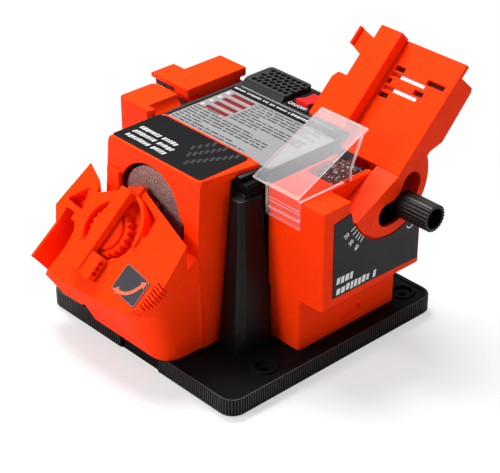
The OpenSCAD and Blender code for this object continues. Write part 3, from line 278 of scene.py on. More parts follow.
# Clear finishes: share of the own colour, that colour, gloss, and the share higher up
CLEARS = {
    "clear_plastic": (0.035, (0.9, 0.9, 0.92), 0.05),
    # The top's milky grey, rising higher up, is haze with painted reflection; the edge and line finishes are
    # painted highlights
    "clear_top": (0.12, (0.4, 0.4, 0.41), 0.08, 0.34),
    "clear_edge": (0.6, (0.8, 0.78, 0.77), 0.2),
    "clear_line": (0.2, (0.8, 0.78, 0.77), 0.2),
}
finishes = {}
for make, rows in ((moulded, MOULDED), (metal, METALS), (grit, GRITS), (clear, CLEARS)):
    for name, values in rows.items():
        finishes[name] = make(name, *values)


def add_object(name, mesh):
    thing = bpy.data.objects.new(name, mesh)
    bpy.context.scene.collection.objects.link(thing)
    return thing


SMOOTH_ANGLE = math.radians(35)


def make_piece(name, mesh, body, finish):
    """A mesh as a piece of the object, with smooth shading across its blunt edges."""
    piece = add_object(name, mesh)
    mesh.materials.clear()
    mesh.materials.append(finishes[finish].material)
    mesh.shade_smooth()
    mesh.set_sharp_from_angle(angle=SMOOTH_ANGLE)
    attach(piece, body)
    return piece


# Edge radius in millimetres of the moulded and cut pieces
EDGE_RADIUS = {
    "base_plate": 0.45, "housing": 1.0, "top_cover": 0.8, "drill_head": 2.0, "knife_head": 1.0,
    "blade_table": 0.35, "blade_fence": 0.5, "lock_knob": 0.35, "rocker": 0.8, "switch_body": 0.5,
    "power_inlet": 0.5, "instruction_panel": 0.2, "drill_label": 0.2, "plane_label": 0.2, "arrow_label": 0.2,
}
OWN_FINISH = {"top_cover": "lid_black", "base_plate": "base_black", "drill_label": "top_black"}
SHARP_ANGLE = math.radians(30)
FLAT_ANGLE = math.radians(0.4)
FLAT_COSINE = math.cos(math.radians(0.6))
TURN_LIMIT = math.radians(35)
ROOM_SHARE = 0.4
LEAST_RADIUS = 0.04 * MM
TINY = 1e-7
WELD_MM = 0.002


def edge_room(edge):
    """How far a rounding of this edge may reach over its two faces before it meets another edge."""
    room = math.inf
    for loop in edge.link_loops:
        start = loop.vert.co
        along = loop.link_loop_next.vert.co - start
        length = along.length
        along.normalize()
        inward = loop.face.normal.cross(along)
        for vert in loop.face.verts:
            offset = vert.co - start
            depth = offset.dot(inward)
            if depth > TINY and -TINY < offset.dot(along) < length + TINY:
                room = min(room, depth)
        for beside in (loop.link_loop_next.edge, loop.link_loop_prev.edge):
            if turn_between(edge, beside) > TURN_LIMIT:
                room = min(room, beside.calc_length())
    return room


def turn_between(edge, beside):
    along = (edge.verts[1].co - edge.verts[0].co)
    other = (beside.verts[1].co - beside.verts[0].co)
    if along.length < TINY or other.length < TINY:
        return 0.0
    turn = along.angle(other)
    return min(turn, math.pi - turn)


def rounding(bm, radius_mm):
    """The radius of each crisp edge, less where there is little room, and even along a curve."""
    radius = {}
    for edge in bm.edges:
        if edge.is_manifold and edge.calc_face_angle(0) > SHARP_ANGLE:
            radius[edge] = min(radius_mm * MM, ROOM_SHARE * edge_room(edge))
    for _ in range(3):
        for edge in radius:
            for vert in edge.verts:
                for beside in vert.link_edges:
                    if beside in radius and turn_between(edge, beside) < TURN_LIMIT:
                        radius[edge] = min(radius[edge], 1.15 * radius[beside])
    return {edge: r for edge, r in radius.items() if r > LEAST_RADIUS}


def flat_groups(bm):
    """Groups of joined faces that lie in one plane and have a face of many sides."""
    seen = set()
    groups = []
    for seed in bm.faces:
        if seed in seen:
            continue
        seen.add(seed)
        group = [seed]
        for face in group:
            for edge in face.edges:
                for other in edge.link_faces:
                    if other not in seen and other.normal.dot(seed.normal) > FLAT_COSINE:
                        seen.add(other)
                        group.append(other)
        if any(len(face.verts) > 4 for face in group):
            groups.append(group)
    return groups


def inside_rim(point, rim):
    """Whether a point of the plane lies inside a rim of straight lines, its holes left out."""
    inside = False
    for a, b in rim:
        if (a.y > point.y) != (b.y > point.y):
            if point.x < a.x + (point.y - a.y) / (b.y - a.y) * (b.x - a.x):
                inside = not inside
    return inside


def refill(bm, group):
    """Fills one flat group with new triangles that keep to its rim and leave its holes open."""
    members = set(group)
    edges = list(dict.fromkeys(edge for face in group for edge in face.edges))
    rim = [edge for edge in edges if sum(face in members for face in edge.link_faces) == 1]
    inner = [edge for edge in edges if sum(face in members for face in edge.link_faces) == 2]
    verts = list(dict.fromkeys(vert for edge in rim for vert in edge.verts))
    widest = max(group, key=lambda face: face.calc_area())
    turn = widest.normal.rotation_difference(Vector((0, 0, 1)))
    flat = [(turn @ vert.co).to_2d() / MM for vert in verts]
    index = {vert: i for i, vert in enumerate(verts)}
    lines = [tuple(index[vert] for vert in edge.verts) for edge in rim]
    points, _, faces, origins, _, _ = delaunay_2d_cdt(flat, lines, [], 0, 1e-5)
    sides = [(flat[a], flat[b]) for a, b in lines]
    level = (turn @ verts[0].co).z
    finish = widest.material_index
    bmesh.ops.delete(bm, geom=group, context="FACES_ONLY")
    bmesh.ops.delete(bm, geom=inner, context="EDGES")
    ends = []
    for point, origin in zip(points, origins):
        if origin:
            ends.append(verts[origin[0]])
        else:
            ends.append(bm.verts.new(turn.inverted() @ Vector((point.x * MM, point.y * MM, level))))
    for corners in faces:
        middle = sum((points[i] for i in corners), Vector((0, 0))) / len(corners)
        corner_verts = [ends[i] for i in corners]
        if inside_rim(middle, sides) and bm.faces.get(corner_verts) is None:
            face = bm.faces.new(corner_verts)
            face.material_index = finish
            face.smooth = True


def weld(bm):
    """Joins a triangle mesh's corners and its flat neighbours."""
    bmesh.ops.remove_doubles(bm, verts=bm.verts, dist=WELD_MM * MM)
    bmesh.ops.dissolve_limit(
        bm, angle_limit=FLAT_ANGLE, use_dissolve_boundaries=False, verts=bm.verts, edges=bm.edges,
        delimit={"MATERIAL"})


def soften(piece, radius_mm, finish=0):
    """Rounds the crisp edges of a piece, as moulding leaves them."""
    bm = bmesh.new()
    bm.from_mesh(piece.data)
    weld(bm)
    weight = bm.edges.layers.float.new("bevel_weight_edge")
    for edge, radius in rounding(bm, radius_mm).items():
        edge[weight] = radius / (radius_mm * MM)
    bm.to_mesh(piece.data)
    round_off = piece.modifiers.new("rounded", "BEVEL")
    round_off.limit_method = "WEIGHT"
    round_off.width = radius_mm * MM
    round_off.segments = 3
    round_off.use_clamp_overlap = False
    round_off.loop_slide = False
    round_off.material = finish
    graph = bpy.context.evaluated_depsgraph_get()
    bm.clear()
    bm.from_mesh(piece.evaluated_get(graph).to_mesh())
    piece.modifiers.clear()
    for group in flat_groups(bm):
        refill(bm, group)
    bm.to_mesh(piece.data)
    bm.free()
    piece.data.shade_smooth()
    piece.data.set_sharp_from_angle(angle=SHARP_ANGLE)
    even = piece.modifiers.new("even", "WEIGHTED_NORMAL")
    even.keep_sharp = True


def bare_copy(source, name):
    """The same vertices and faces in a new mesh, without the normals and other values of the first."""
    mesh = bpy.data.meshes.new(name)
    mesh.from_pydata([v.co for v in source.vertices], [], [tuple(face.vertices) for face in source.polygons])
    return mesh


def closed_copy(node):
    """A node's shape as one closed mesh that can be joined and cut."""
    bm = bmesh.new()
    bm.from_mesh(bare_copy(nodes[node].data, node))
    bmesh.ops.remove_doubles(bm, verts=bm.verts, dist=WELD_MM * MM)
    mesh = bpy.data.meshes.new(node)
    bm.to_mesh(mesh)
    bm.free()
    return mesh


def rebuilt(node, mesh, radius_mm):
    """A new piece with rounded edges, which stands for a node."""
    finish = OWN_FINISH.get(node, slot_of[node])
    piece = make_piece(node + "_soft", mesh, body_of[node], finish)
    soften(piece, radius_mm)
    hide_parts(node)


for node, radius in EDGE_RADIUS.items():
    rebuilt(node, bare_copy(nodes[node].data, node + "_soft"), radius)
for node, thing in nodes.items():
    thing.data.materials.clear()
    thing.data.materials.append(finishes[slot_of[node]].material)

TAB_BACK = -18
TAB_TOP = 138


def paint_tab_shade():
    """The lid's tab between the front heads has the base's duller black, as painted shade where the heads
    shade it.
    """
    cover = bpy.data.objects["top_cover_soft"].data
    cover.materials.append(finishes["base_black"].material)
    for face in cover.polygons:
        if face.center.y < TAB_BACK * MM and face.center.z < TAB_TOP * MM:
            face.material_index = 1


paint_tab_shade()


def frame_at(origin_mm, across, up):
    """Where a flat drawing in millimetres lies: its origin and its across and up directions."""
    x = Vector(across).normalized()
    out = x.cross(Vector(up)).normalized()
    turn = Matrix((x, out.cross(x), out)).transposed().to_4x4()
    return Matrix.Translation(Vector(origin_mm) * MM) @ turn @ Matrix.Scale(MM, 4)


def sloped(y, z, degrees):
    """A drawing that leans back from the front: across is to the right, up is up the slope."""
    lean = math.radians(degrees)
    return frame_at((0, y, z), (1, 0, 0), (0, math.cos(lean), math.sin(lean)))


def moved(place, x, y, degrees=0.0):
    """The same drawing plane with its origin moved and its directions turned."""
    return place @ Matrix.Translation((x, y, 0)) @ Matrix.Rotation(math.radians(degrees), 4, "Z")


FACE_PLACE = (-82.1, 101.4)
FACE_ANGLE = 48.84
SEAT_PLACE = (-70.5, 87.5)
SEAT_ANGLE = 33
TILT_PLACE = (39.4, 130.7)
TABLE_ANGLE = 43.9
FACE = sloped(*FACE_PLACE, FACE_ANGLE)
SEAT = sloped(*SEAT_PLACE, SEAT_ANGLE)
TABLE = sloped(*TILT_PLACE, TABLE_ANGLE)
PLAN = frame_at((0, 0, 0), (1, 0, 0), (0, 1, 0))
SIDE = frame_at((0, 0, 0), (0, 1, 0), (0, 0, 1))
FRONT = frame_at((0, 0, 0), (1, 0, 0), (0, 0, 1))


def polar(radius, degrees, centre=(0, 0)):
    turn = math.radians(degrees)
    return (centre[0] + radius * math.cos(turn), centre[1] + radius * math.sin(turn))


def arc(centre, radius, start, end, steps):
    return [polar(radius, start + (end - start) * i / steps, centre) for i in range(steps + 1)]


def band(centre, inner, outer, start, end, steps):
    """Outline of a part of a ring."""
    return arc(centre, outer, start, end, steps) + arc(centre, inner, end, start, steps)


def rectangle(x0, y0, x1, y1):
    return [(x0, y0), (x1, y0), (x1, y1), (x0, y1)]


CORNER_STEPS = 5


def rounded(x0, y0, x1, y1, radius):
    """Outline of a rectangle with round corners."""
    corners = ((x1 - radius, y1 - radius), (x0 + radius, y1 - radius),
               (x0 + radius, y0 + radius), (x1 - radius, y0 + radius))
    points = []
    for i, centre in enumerate(corners):
        points += arc(centre, radius, 90 * i, 90 * i + 90, CORNER_STEPS)
    return points


def stroke(points, width):
    """Outline of an even line along points."""
    left, right = [], []
    for i, point in enumerate(points):
        before = Vector(points[max(i - 1, 0)])
        after = Vector(points[min(i + 1, len(points) - 1)])
        along = (after - before).normalized()
        across = Vector((-along.y, along.x)) * (width / 2)
        left.append(tuple(Vector(point) + across))
        right.append(tuple(Vector(point) - across))
    return right + left[::-1]


def signed_area(outline):
    return sum(a[0] * b[1] - b[0] * a[1] for a, b in zip(outline, outline[1:] + outline[:1])) / 2


def add_loft(bm, floor, low, roof, high, place):
    """Adds a solid between two outlines of as many corners, at two heights over a drawing."""
    if signed_area(floor) < 0:
        floor, roof = floor[::-1], roof[::-1]
    bottom = [bm.verts.new(place @ Vector((x, y, low))) for x, y in floor]
    top = [bm.verts.new(place @ Vector((x, y, high))) for x, y in roof]
    bm.faces.new(bottom[::-1])
    bm.faces.new(top)
    for i, vert in enumerate(bottom):
        j = (i + 1) % len(bottom)
        bm.faces.new((vert, bottom[j], top[j], top[i]))


def as_mesh(bm, name):
    mesh = bpy.data.meshes.new(name)
    bm.to_mesh(mesh)
    bm.free()
    return mesh


def solid(name, shapes, place):
    """A mesh of upright blocks: each shape is an outline and its two heights."""
    bm = bmesh.new()
    for outline, low, high in shapes:
        add_loft(bm, outline, low, outline, high, place)
    return as_mesh(bm, name)


def loft(name, floor, low, roof, high, place):
    bm = bmesh.new()
    add_loft(bm, floor, low, roof, high, place)
    return as_mesh(bm, name)


def combined(mesh, other, operation):
    """One mesh joined with another, cut by it, or kept only inside it."""
    whole = add_object("whole", mesh)
    tool = add_object("tool", other)
    step = whole.modifiers.new("step", "BOOLEAN")
    step.operation = operation
    step.solver = "EXACT"
    step.object = tool
    graph = bpy.context.evaluated_depsgraph_get()
    result = bpy.data.meshes.new_from_object(whole.evaluated_get(graph))
    bpy.data.objects.remove(whole)
    bpy.data.objects.remove(tool)
    return result


def added(name, mesh, node, finish=None, radius_mm=0.0):
    """A piece beside a node, which rides with it and takes its slot."""
    piece = make_piece(name, mesh, body_of[node], finish or slot_of[node])
    if radius_mm:
        soften(piece, radius_mm)
    return piece


def blocks(name, shapes, place, node, finish=None, radius_mm=0.0):
    """Upright blocks as a piece beside a node."""
    return added(name, solid(name, shapes, place), node, finish, radius_mm)


# Drill holder: a wedge between its face and its seat, with a deep side, a pocket and cut-outs
HOLDER_RIGHT = 35.4
HOLDER_CORNER = 36
CLAMP_PLACE = (-35, -18.4)
POCKET_RADIUS = 21.6
POCKET_DEPTH = 7
BAY_PLACE = (-32, -13)
BAY_RADIUS = 25
PIN_PLACE = (-27, -22)
PIN_BORE = 4.05
SCREW_BORE = 4.1
MOAT_DEPTH = 8.9
TRENCH_DEPTH = 24
SLOPE_DEPTH = 9
WINDOW_DEPTH = 11
HOLLOW_DEPTH = 7
FALL_DEPTH = 7
GROOVES = 8
GROOVE_DEPTH = 5.5
GROOVE_WIDTH = 1.3
LIP_WIDTH = 2.6
RIM_WIDTH = 1.7


def line_point(place, degrees, reach, lift=0.0):
    """A point along a sloped line in a side drawing, lifted square to the line."""
    turn = math.radians(degrees)
    return (place[0] + reach * math.cos(turn) - lift * math.sin(turn),
            place[1] + reach * math.sin(turn) + lift * math.cos(turn))


def holder_body():
    flat = math.cos(math.radians(FACE_ANGLE))
    corner_y = FACE_PLACE[0] - 27.5 * flat
    plan = [(HOLDER_RIGHT - HOLDER_CORNER + x, corner_y + y * flat)
            for x, y in arc((0, 0), HOLDER_CORNER, 0, -90, 14)]
    plan += [(-67.6, -125.2), (-90, -122.8), (-84.3, -103.3), (-93, -96), (-82, -70.5), (-66, -75.5),
             (-62, -77.5), (-44, -73), (-27, -68.6), (HOLDER_RIGHT, -82.1)]
    face_far = line_point(FACE_PLACE, FACE_ANGLE, 60)
    seat_near = line_point(SEAT_PLACE, SEAT_ANGLE, -90, 0.3)
    seat_far = line_point(SEAT_PLACE, SEAT_ANGLE, 60, 0.3)
    face_near = line_point(FACE_PLACE, FACE_ANGLE, -90)
    apex = intersect_line_line_2d(*(Vector(p) for p in (face_near, face_far, seat_near, seat_far)))
    wedge = combined(
        solid("plan", [(plan, 0, 200)], PLAN),
        solid("profile", [([tuple(apex), seat_far, face_far], -120, 60)], SIDE), "INTERSECT")
    deep = [(-70, -65.5), (-90, -61.8), (-84.3, -32.2), (-93, -21.1), (-88, -3), (-70, -3)]
    deep_low = [(-70, -71), (-90, -67.5)] + deep[2:]
    side = combined(
        loft("deep", deep_low, -27, deep, 0, FACE),
        solid("clearance", [(rectangle(-150, -160, 50, -77), 0, 200)], PLAN), "INTERSECT")
    wedge = combined(wedge, side, "UNION")
    along = [(-70, -125.2), (-14, -124.15), (-14, -123.3), (-70, -123.4)]
    upright = [(-70, 48.5), (-50, 42), (-30, 42), (-14, 50.5), (-14, 56), (-70, 56)]
    skirt = combined(
        solid("along", [(along, 30, 60)], PLAN), solid("upright", [(upright, 110, 130)], FRONT), "INTERSECT")
    under = solid("under", [(rectangle(-150, -120, 100, 60), -60, 0)], FACE)
    return combined(wedge, combined(skirt, under, "INTERSECT"), "UNION")


def holder_cuts():
    """Everything that is cut out of the holder, one mesh for each cut."""
    bay = arc(BAY_PLACE, BAY_RADIUS, -50, 95, 20)
    pocket = bay + arc(CLAMP_PLACE, POCKET_RADIUS, 110, 320, 26)
    moat = band(BAY_PLACE, BAY_RADIUS - 6, BAY_RADIUS - 0.2, -50, 30, 12)
    trench = [(-73, -75), (-89.7, -75), (-87.6, -61.8), (-82.1, -32.2), (-82.1, -19), (-73, -19)]
    slope_top = [
        (-80, -75), (-69.5, -75), (-68.3, -65.4), (-61.8, -37), (-63.3, -31), (-66.5, -24.7), (-80, -24)]
    slope_floor = [
        (-80, -75), (-74, -75), (-73.6, -65.4), (-72.6, -37), (-72.6, -31), (-73, -26), (-80, -25)]
    window = [(-85.4, -12.8), (-71.5, 1.6), (-67.2, -15.2), (-79.4, -14.6)]
    hollow = [(-63, 1), (-47, 9.4), (-38, 12), (-40, 30), (-66, 30)]
    fall_top = [(-26.5, 15.5), (1, 6.2), (-1, -12)]
    fall_floor = [(-20, 9.5), (-6.5, 3.6), (-7, -5)]
    grooves = []
    for i in range(GROOVES):
        start = Vector((24.2 + 0.6 * i, -50.3 + 2.7 * i))
        end = start + Vector((16, -5.1))
        grooves.append((stroke([tuple(start), tuple(end)], GROOVE_WIDTH), -GROOVE_DEPTH, 3))
    return [
        solid("pocket", [(pocket, -POCKET_DEPTH, 10)], FACE),
        solid("trench", [(trench, -TRENCH_DEPTH, 5)], FACE),
        loft("slope", slope_floor, -SLOPE_DEPTH, slope_top, 0.7, FACE),
        solid("window", [(window, -WINDOW_DEPTH, 5)], FACE),
        solid("hollow", [(hollow, -HOLLOW_DEPTH, 5)], FACE),
        loft("fall", fall_floor, -FALL_DEPTH, fall_top, 0.6, FACE),
        solid("moat", [(moat, -MOAT_DEPTH, 0)], FACE),
        solid("grooves", grooves, FACE),
        solid("pin", [(arc(PIN_PLACE, PIN_BORE, 0, 345, 23), -2, 4.5)], SEAT),
        solid("bore", [(arc(CLAMP_PLACE, SCREW_BORE, 0, 345, 23), -11.6, 0)], FACE),
    ]


def make_holder():
    mesh = holder_body()
    for cut in holder_cuts():
        mesh = combined(mesh, cut, "DIFFERENCE")
    lip = band(BAY_PLACE, BAY_RADIUS, BAY_RADIUS + LIP_WIDTH, -12, 86, 24)
    rim = band(CLAMP_PLACE, POCKET_RADIUS, POCKET_RADIUS + RIM_WIDTH, 112, 214, 24)
    mesh = combined(mesh, solid("lip", [(lip, -6.5, 2.4), (rim, -3, 1.5)], FACE), "UNION")
    crest = [(-31.6, 11.6), (-26.8, 21), (-22.6, 20), (-24.4, 12)]
    mesh = combined(mesh, solid("crest", [(crest, -4, 2.5)], FACE), "UNION")
    rebuilt("drill_holder", mesh, 0.7)
    # A band of painted shade red on the moat floor stands for the dark shade between the wheel and the pocket
    # wall
    gap = band(BAY_PLACE, BAY_RADIUS - 5.9, BAY_RADIUS - 0.1, -49.5, 30, 12)
    blocks("pocket_painted_shade", [(gap, -8.95, -8.5)], FACE, "drill_holder", "deep_red")


make_holder()

# Hand wheel, bar and screw of the clamp
CLAMP = moved(FACE, *CLAMP_PLACE, -8)
WHEEL_POINTS = 176
WHEEL_LOBES = 22
WHEEL_BORE = 4.05
SCREW_RADIUS = 4


def wheel_ring(bm, radius, height, lobe):
    """One ring of the wheel, its radius falling in between the lobes."""
    ring = []
    for i in range(WHEEL_POINTS):
        turn = 360 * i / WHEEL_POINTS
        dip = (0.5 - 0.5 * math.cos(math.radians(turn * WHEEL_LOBES))) ** 2
        x, y = polar(radius - lobe * dip, turn)
        ring.append(bm.verts.new(CLAMP @ Vector((x, y, height))))
    return ring


def make_clamp_wheel():
    profile = [
        (WHEEL_BORE, -6.6, 0), (17.6, -6.6, 1.6), (19.2, -5.8, 1.9), (19.2, -1.6, 1.9), (18.2, -0.4, 1.4),
        (15.7, 0.5, 0), (15.2, 0.3, 0), (15, -0.8, 0), (14.1, -0.8, 0), (13.9, 1.6, 0), (13.3, 2.2, 0),
        (WHEEL_BORE, 2.2, 0)]
    bm = bmesh.new()
    rings = [wheel_ring(bm, *row) for row in profile]
    for a, b in zip(rings, rings[1:] + rings[:1]):
        for i in range(WHEEL_POINTS):
            j = (i + 1) % WHEEL_POINTS
            bm.faces.new((a[i], a[j], b[j], b[i]))
    bmesh.ops.recalc_face_normals(bm, faces=bm.faces)
    piece = added("clamp_wheel_soft", as_mesh(bm, "clamp_wheel_soft"), "clamp_wheel")
    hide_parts("clamp_wheel")


def make_clamp_bar():
    mesh = solid("bar", [(rounded(-5.6, -33, 5.6, 32.5, 1.5), 2.9, 9.4)], CLAMP)
    block = (rounded(-5.6, -34, 17, -16, 1.5), 0.6, 7.9)
    ledge = (rounded(-10.5, -33.5, 0, -16, 1), 0.6, 4.4)
    spine = (rounded(-9, -14, 0, 24, 1), 2.9, 5.2)
    for shape in (block, ledge, spine):
        mesh = combined(mesh, solid("shape", [shape], CLAMP), "UNION")
    slots = [(rectangle(13.4, -29.6 + 4.2 * i, 20, -27 + 4.2 * i), 2.8, 6.7) for i in range(3)]
    mesh = combined(mesh, solid("slots", slots, CLAMP), "DIFFERENCE")
    rebuilt("clamp_bar", mesh, 0.6)


def make_clamp_screw():
    stem = arc((0, 0), SCREW_RADIUS, 0, 350, 35)
    piece = blocks("clamp_screw_stem", [(stem, -11, 8.6)], CLAMP, "clamp_screw")
    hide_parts("clamp_screw")


make_clamp_wheel()
make_clamp_bar()
make_clamp_screw()

# Clear shield: milky grey on top as haze with painted reflection, and painted highlights along its edges
NARROW_MM = 2.3
SHIELD_LOW = 119.8
SHIELD_ROUND = 0.35
WALL, EDGE, ROOF, LINE = range(4)
RIDGE_LEVELS = (124.8, 127.4)
RIDGE_HEIGHT = 0.4


def make_shield():
    mesh = bare_copy(nodes["shield"].data, "shield_soft")
    piece = make_piece("shield_soft", mesh, "shield", "clear_plastic")
    mesh.materials.append(finishes["clear_edge"].material)
    mesh.materials.append(finishes["clear_top"].material)
    bm = bmesh.new()
    bm.from_mesh(mesh)
    weld(bm)
    for face in bm.faces:
        longest = max((a.co - b.co).length for a in face.verts for b in face.verts)
        if face.calc_area() / longest < NARROW_MM * MM:
            face.material_index = EDGE
        elif abs(face.normal.z) > 0.5:
            face.material_index = ROOF
    bm.to_mesh(mesh)
    bm.free()
    soften(piece, SHIELD_ROUND, EDGE)
    mesh.materials.append(finishes["clear_line"].material)
    for face in piece.data.polygons:
        if face.material_index == EDGE and face.center.z < SHIELD_LOW * MM:
            face.material_index = LINE
    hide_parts("shield")
    skirt = solid("shield_skirt", [(rectangle(53, -26.4, 85.4, -24.4), 112.8, 118.95)], PLAN)
    lower = make_piece("shield_skirt", skirt, "shield", "clear_plastic")
    skirt.materials.append(finishes["clear_line"].material)
    for face in skirt.polygons:
        face.material_index = WALL if abs(face.normal.y) > 0.5 else EDGE
    soften(lower, SHIELD_ROUND, EDGE)
    # The two ridges are thin strips in the painted highlight finish
    ridges = [(rectangle(53.4, -26.75, 85.2, -26.35), z, z + RIDGE_HEIGHT) for z in RIDGE_LEVELS]
    blocks("shield_ridges", ridges, PLAN, "shield", "clear_line")


make_shield()

# Ribs round the edge of the base in a lighter black as painted highlight, a painted highlight line along its
# rim and the panel in its front notch
BASE_HALF = (100, 101)
BASE_CORNER = 11
RIB_PITCH = 2.1
RIB_HEIGHTS = (1.4, 13.9)
RIBS_AT_CORNER = 8
NOTCH = (-18, 24)
NOTCH_HEIGHTS = (0.6, 13.2)
RIM_INSET = 0.35
RIM_HIGHLIGHT_WIDTH = 0.6
RIM_HEIGHTS = (14.3, 14.46)


def rib(place, outward):
    """Outline of one rib that stands out of the base's edge."""
    out = Vector(outward)
    along = Vector((-out.y, out.x)) * 0.5
    middle = Vector(place)
    corners = (middle - out * 0.4 - along, middle + out * 0.45 - along * 0.7,
               middle + out * 0.45 + along * 0.7, middle - out * 0.4 + along)
    return [tuple(corner) for corner in corners]


def base_ribs():
    ribs = []
    for axis in (0, 1):
        straight = BASE_HALF[1 - axis] - BASE_CORNER
        count = int(2 * straight / RIB_PITCH)
        for side in (-1, 1):
            for i in range(count + 1):
                along = -straight + 2 * straight * i / count
                if axis == 1 and side == -1 and NOTCH[0] < along < NOTCH[1]:
                    continue
                place = (side * BASE_HALF[0], along) if axis == 0 else (along, side * BASE_HALF[1])
                ribs.append(rib(place, (side, 0) if axis == 0 else (0, side)))
    for corner in range(4):
        centre = (BASE_HALF[0] - BASE_CORNER, BASE_HALF[1] - BASE_CORNER)
        centre = (centre[0] * (1, -1, -1, 1)[corner], centre[1] * (1, 1, -1, -1)[corner])
        for i in range(1, RIBS_AT_CORNER):
            turn = 90 * corner + 90 * i / RIBS_AT_CORNER
            ribs.append(rib(polar(BASE_CORNER, turn, centre), polar(1, turn)))
    # The ribs take a lighter black than the base as a painted highlight
    shapes = [(outline, *RIB_HEIGHTS) for outline in ribs]
    blocks("base_ribs", shapes, PLAN, "base_plate", "rib_black")


def base_edge():
    """A painted highlight line along the rim, and the smooth panel in the notch at the front."""
    inset = BASE_CORNER - RIM_INSET
    across, deep = BASE_HALF[0] - BASE_CORNER, BASE_HALF[1] - BASE_CORNER
    line = [(NOTCH[1], RIM_INSET - BASE_HALF[1])]
    for i, centre in enumerate(((across, -deep), (across, deep), (-across, deep), (-across, -deep))):
        line += arc(centre, inset, 90 * i - 90, 90 * i, 6)
    line.append((NOTCH[0], RIM_INSET - BASE_HALF[1]))
    shapes = [(stroke(list(pair), RIM_HIGHLIGHT_WIDTH), *RIM_HEIGHTS) for pair in zip(line, line[1:])]
    blocks("base_rim_highlight", shapes, PLAN, "base_plate", "rim_grey")
    panel = rectangle(NOTCH[0] + 0.5, -99.2, NOTCH[1] - 0.5, -88)
    blocks("base_notch_panel", [(panel, *NOTCH_HEIGHTS)], PLAN, "base_plate", "base_black")


base_ribs()
base_edge()

# Table: backs in painted shade red under its windows, painted shade in black on the floor and lower wall of
# the arc slot, and the foot strip of the fence
WINDOWS = (
    (56.5, 65.2, 77.5), (55.5, 59.5, 67), (54.8, 64, 56), (86.5, 102.3, 76.3), (81, 89.5, 66.3))
SLOT_RADIUS = 21
SLOT_HALF = 8.9
SLOT_ARC = (-97, -15)
SLOT_FLOOR = (94.05, 94.25)
SHADE_LINER_END = -48
SHADE_LINER_DEPTHS = (94.1, 106)


def make_table_details():
    # The windows are closed underneath by thin backs in painted shade red
    closed = [(rectangle(x0 - 0.2, u - 2.2, x1 + 0.2, u + 2.2), -3.7, -3.0) for x0, x1, u in WINDOWS]
    blocks("table_window_shade_backs", closed, TABLE, "blade_table", "deep_red")
    # A black plate on the slot floor is painted shade; the black band on the lower wall is painted shade
    # along with the black base of the knob
    start, end = SLOT_ARC
    first, last = (polar(SLOT_RADIUS, degrees, TILT_PLACE) for degrees in SLOT_ARC)
    reach = SLOT_RADIUS + SLOT_HALF
    outline = arc(TILT_PLACE, reach, start, end, 24)
    outline += arc(last, SLOT_HALF, end, end + 180, 12)[1:-1]
    outline += arc(TILT_PLACE, SLOT_RADIUS - SLOT_HALF, end, start, 16)
    outline += arc(first, SLOT_HALF, start + 180, start + 360, 12)[1:-1]
    blocks("table_slot_shade_floor", [(outline, *SLOT_FLOOR)], SIDE, "blade_table", "black_plastic")
    liner = [
        band(TILT_PLACE, reach - 0.3, reach + 0.2, start, SHADE_LINER_END, 16),
        band(first, SLOT_HALF - 0.3, SLOT_HALF + 0.2, start + 180, start + 360, 16)]
    shapes = [(outline, *SHADE_LINER_DEPTHS) for outline in liner]
    blocks("table_slot_shade_liner", shapes, SIDE, "blade_table", "black_plastic")
    blocks("fence_foot", [(rectangle(48.6, 20.2, 52.98, 99.3), 0.05, 1.3)], TABLE, "blade_fence")


make_table_details()

# Plane head with the finger recess in its foot, and the pointer on the hub
FINGER_RECESS = [(16.2, 20.6), (37.1, 19.4), (37.1, 26.6), (33.4, 26.8), (33, 23.4), (17, 24.2)]


def make_plane_head():
    cut = solid("recess", [(FINGER_RECESS, 82.5, 90)], SIDE)
    rebuilt("plane_head", combined(closed_copy("plane_head"), cut, "DIFFERENCE"), 2.2)
    pointer = [(19.3, 106.2), (20.7, 106), (20.9, 110.4), (20.1, 110.4)]
    blocks("hub_pointer", [(pointer, 107.8, 108.5)], SIDE, "blade_table")


make_plane_head()

# Knife guide with what lies under it, the ramp of the vent hump, and the drill head's lug and flared corner
GUIDE_OUTLINE = [(-116.9, 15.4), (-75, 15.4), (-75, 74), (-104.4, 74), (-104.4, 38), (-116.9, 38)]
GUIDE_HEIGHTS = (139, 146)
GUIDE_THINNED = (rectangle(-120, 10, -90, 30), rectangle(-120, 29.9, -105, 45))
GUIDE_THIN_FROM = 142.4
GUIDE_PIECES = (
    ("guide_web", rectangle(-103, 30.5, -81, 72), 133.9, 139.2, "knife_head", None),
    # The filler, drop and rib are blocks in painted shade red, standing for the shade in the slot under the
    # guide's arm; the rib also props the arm
    ("guide_shade_filler", rectangle(-114.5, 18, -90.2, 29.8), 139, 142.5, "knife_guide", "deep_red"),
    ("guide_shade_drop", rectangle(-114.4, 18.2, -105.5, 26.9), 136.6, 138.9, "knife_guide", "deep_red"),
    ("guide_shade_rib", rectangle(-115.4, 27, -105.5, 33), 129, 138.9, "knife_head", "deep_red"),
)


def make_guide():
    mesh = solid("guide", [(GUIDE_OUTLINE, *GUIDE_HEIGHTS)], PLAN)
    for outline in GUIDE_THINNED:
        mesh = combined(mesh, solid("under", [(outline, 130, GUIDE_THIN_FROM)], PLAN), "DIFFERENCE")
    rebuilt("knife_guide", mesh, 0.8)
    for name, outline, low, high, node, finish in GUIDE_PIECES:
        blocks(name, [(outline, low, high)], PLAN, node, finish)


def make_hump():
    ramp = [(60.6, 138.45), (64.6, 138.45), (64.6, 143.3)]
    blocks("hump_ramp", [(ramp, -66, -23)], SIDE, "top_cover", "lid_black")


def make_drill_head_details():
    lug = rectangle(-63.5, -71.4, -50, -67)
    blocks("drill_head_lug", [(lug, 106, 119.5)], PLAN, "drill_head", radius_mm=1.0)
    flare = [(29, -64), (30.6, -64), (37.6, -19), (36.8, -17), (29, -17)]
    blocks("drill_head_flare", [(flare, 136.4, 141.9)], PLAN, "drill_head", radius_mm=2.0)


make_guide()
make_hump()
make_drill_head_details()

# Printing
INK_MM = 0.07


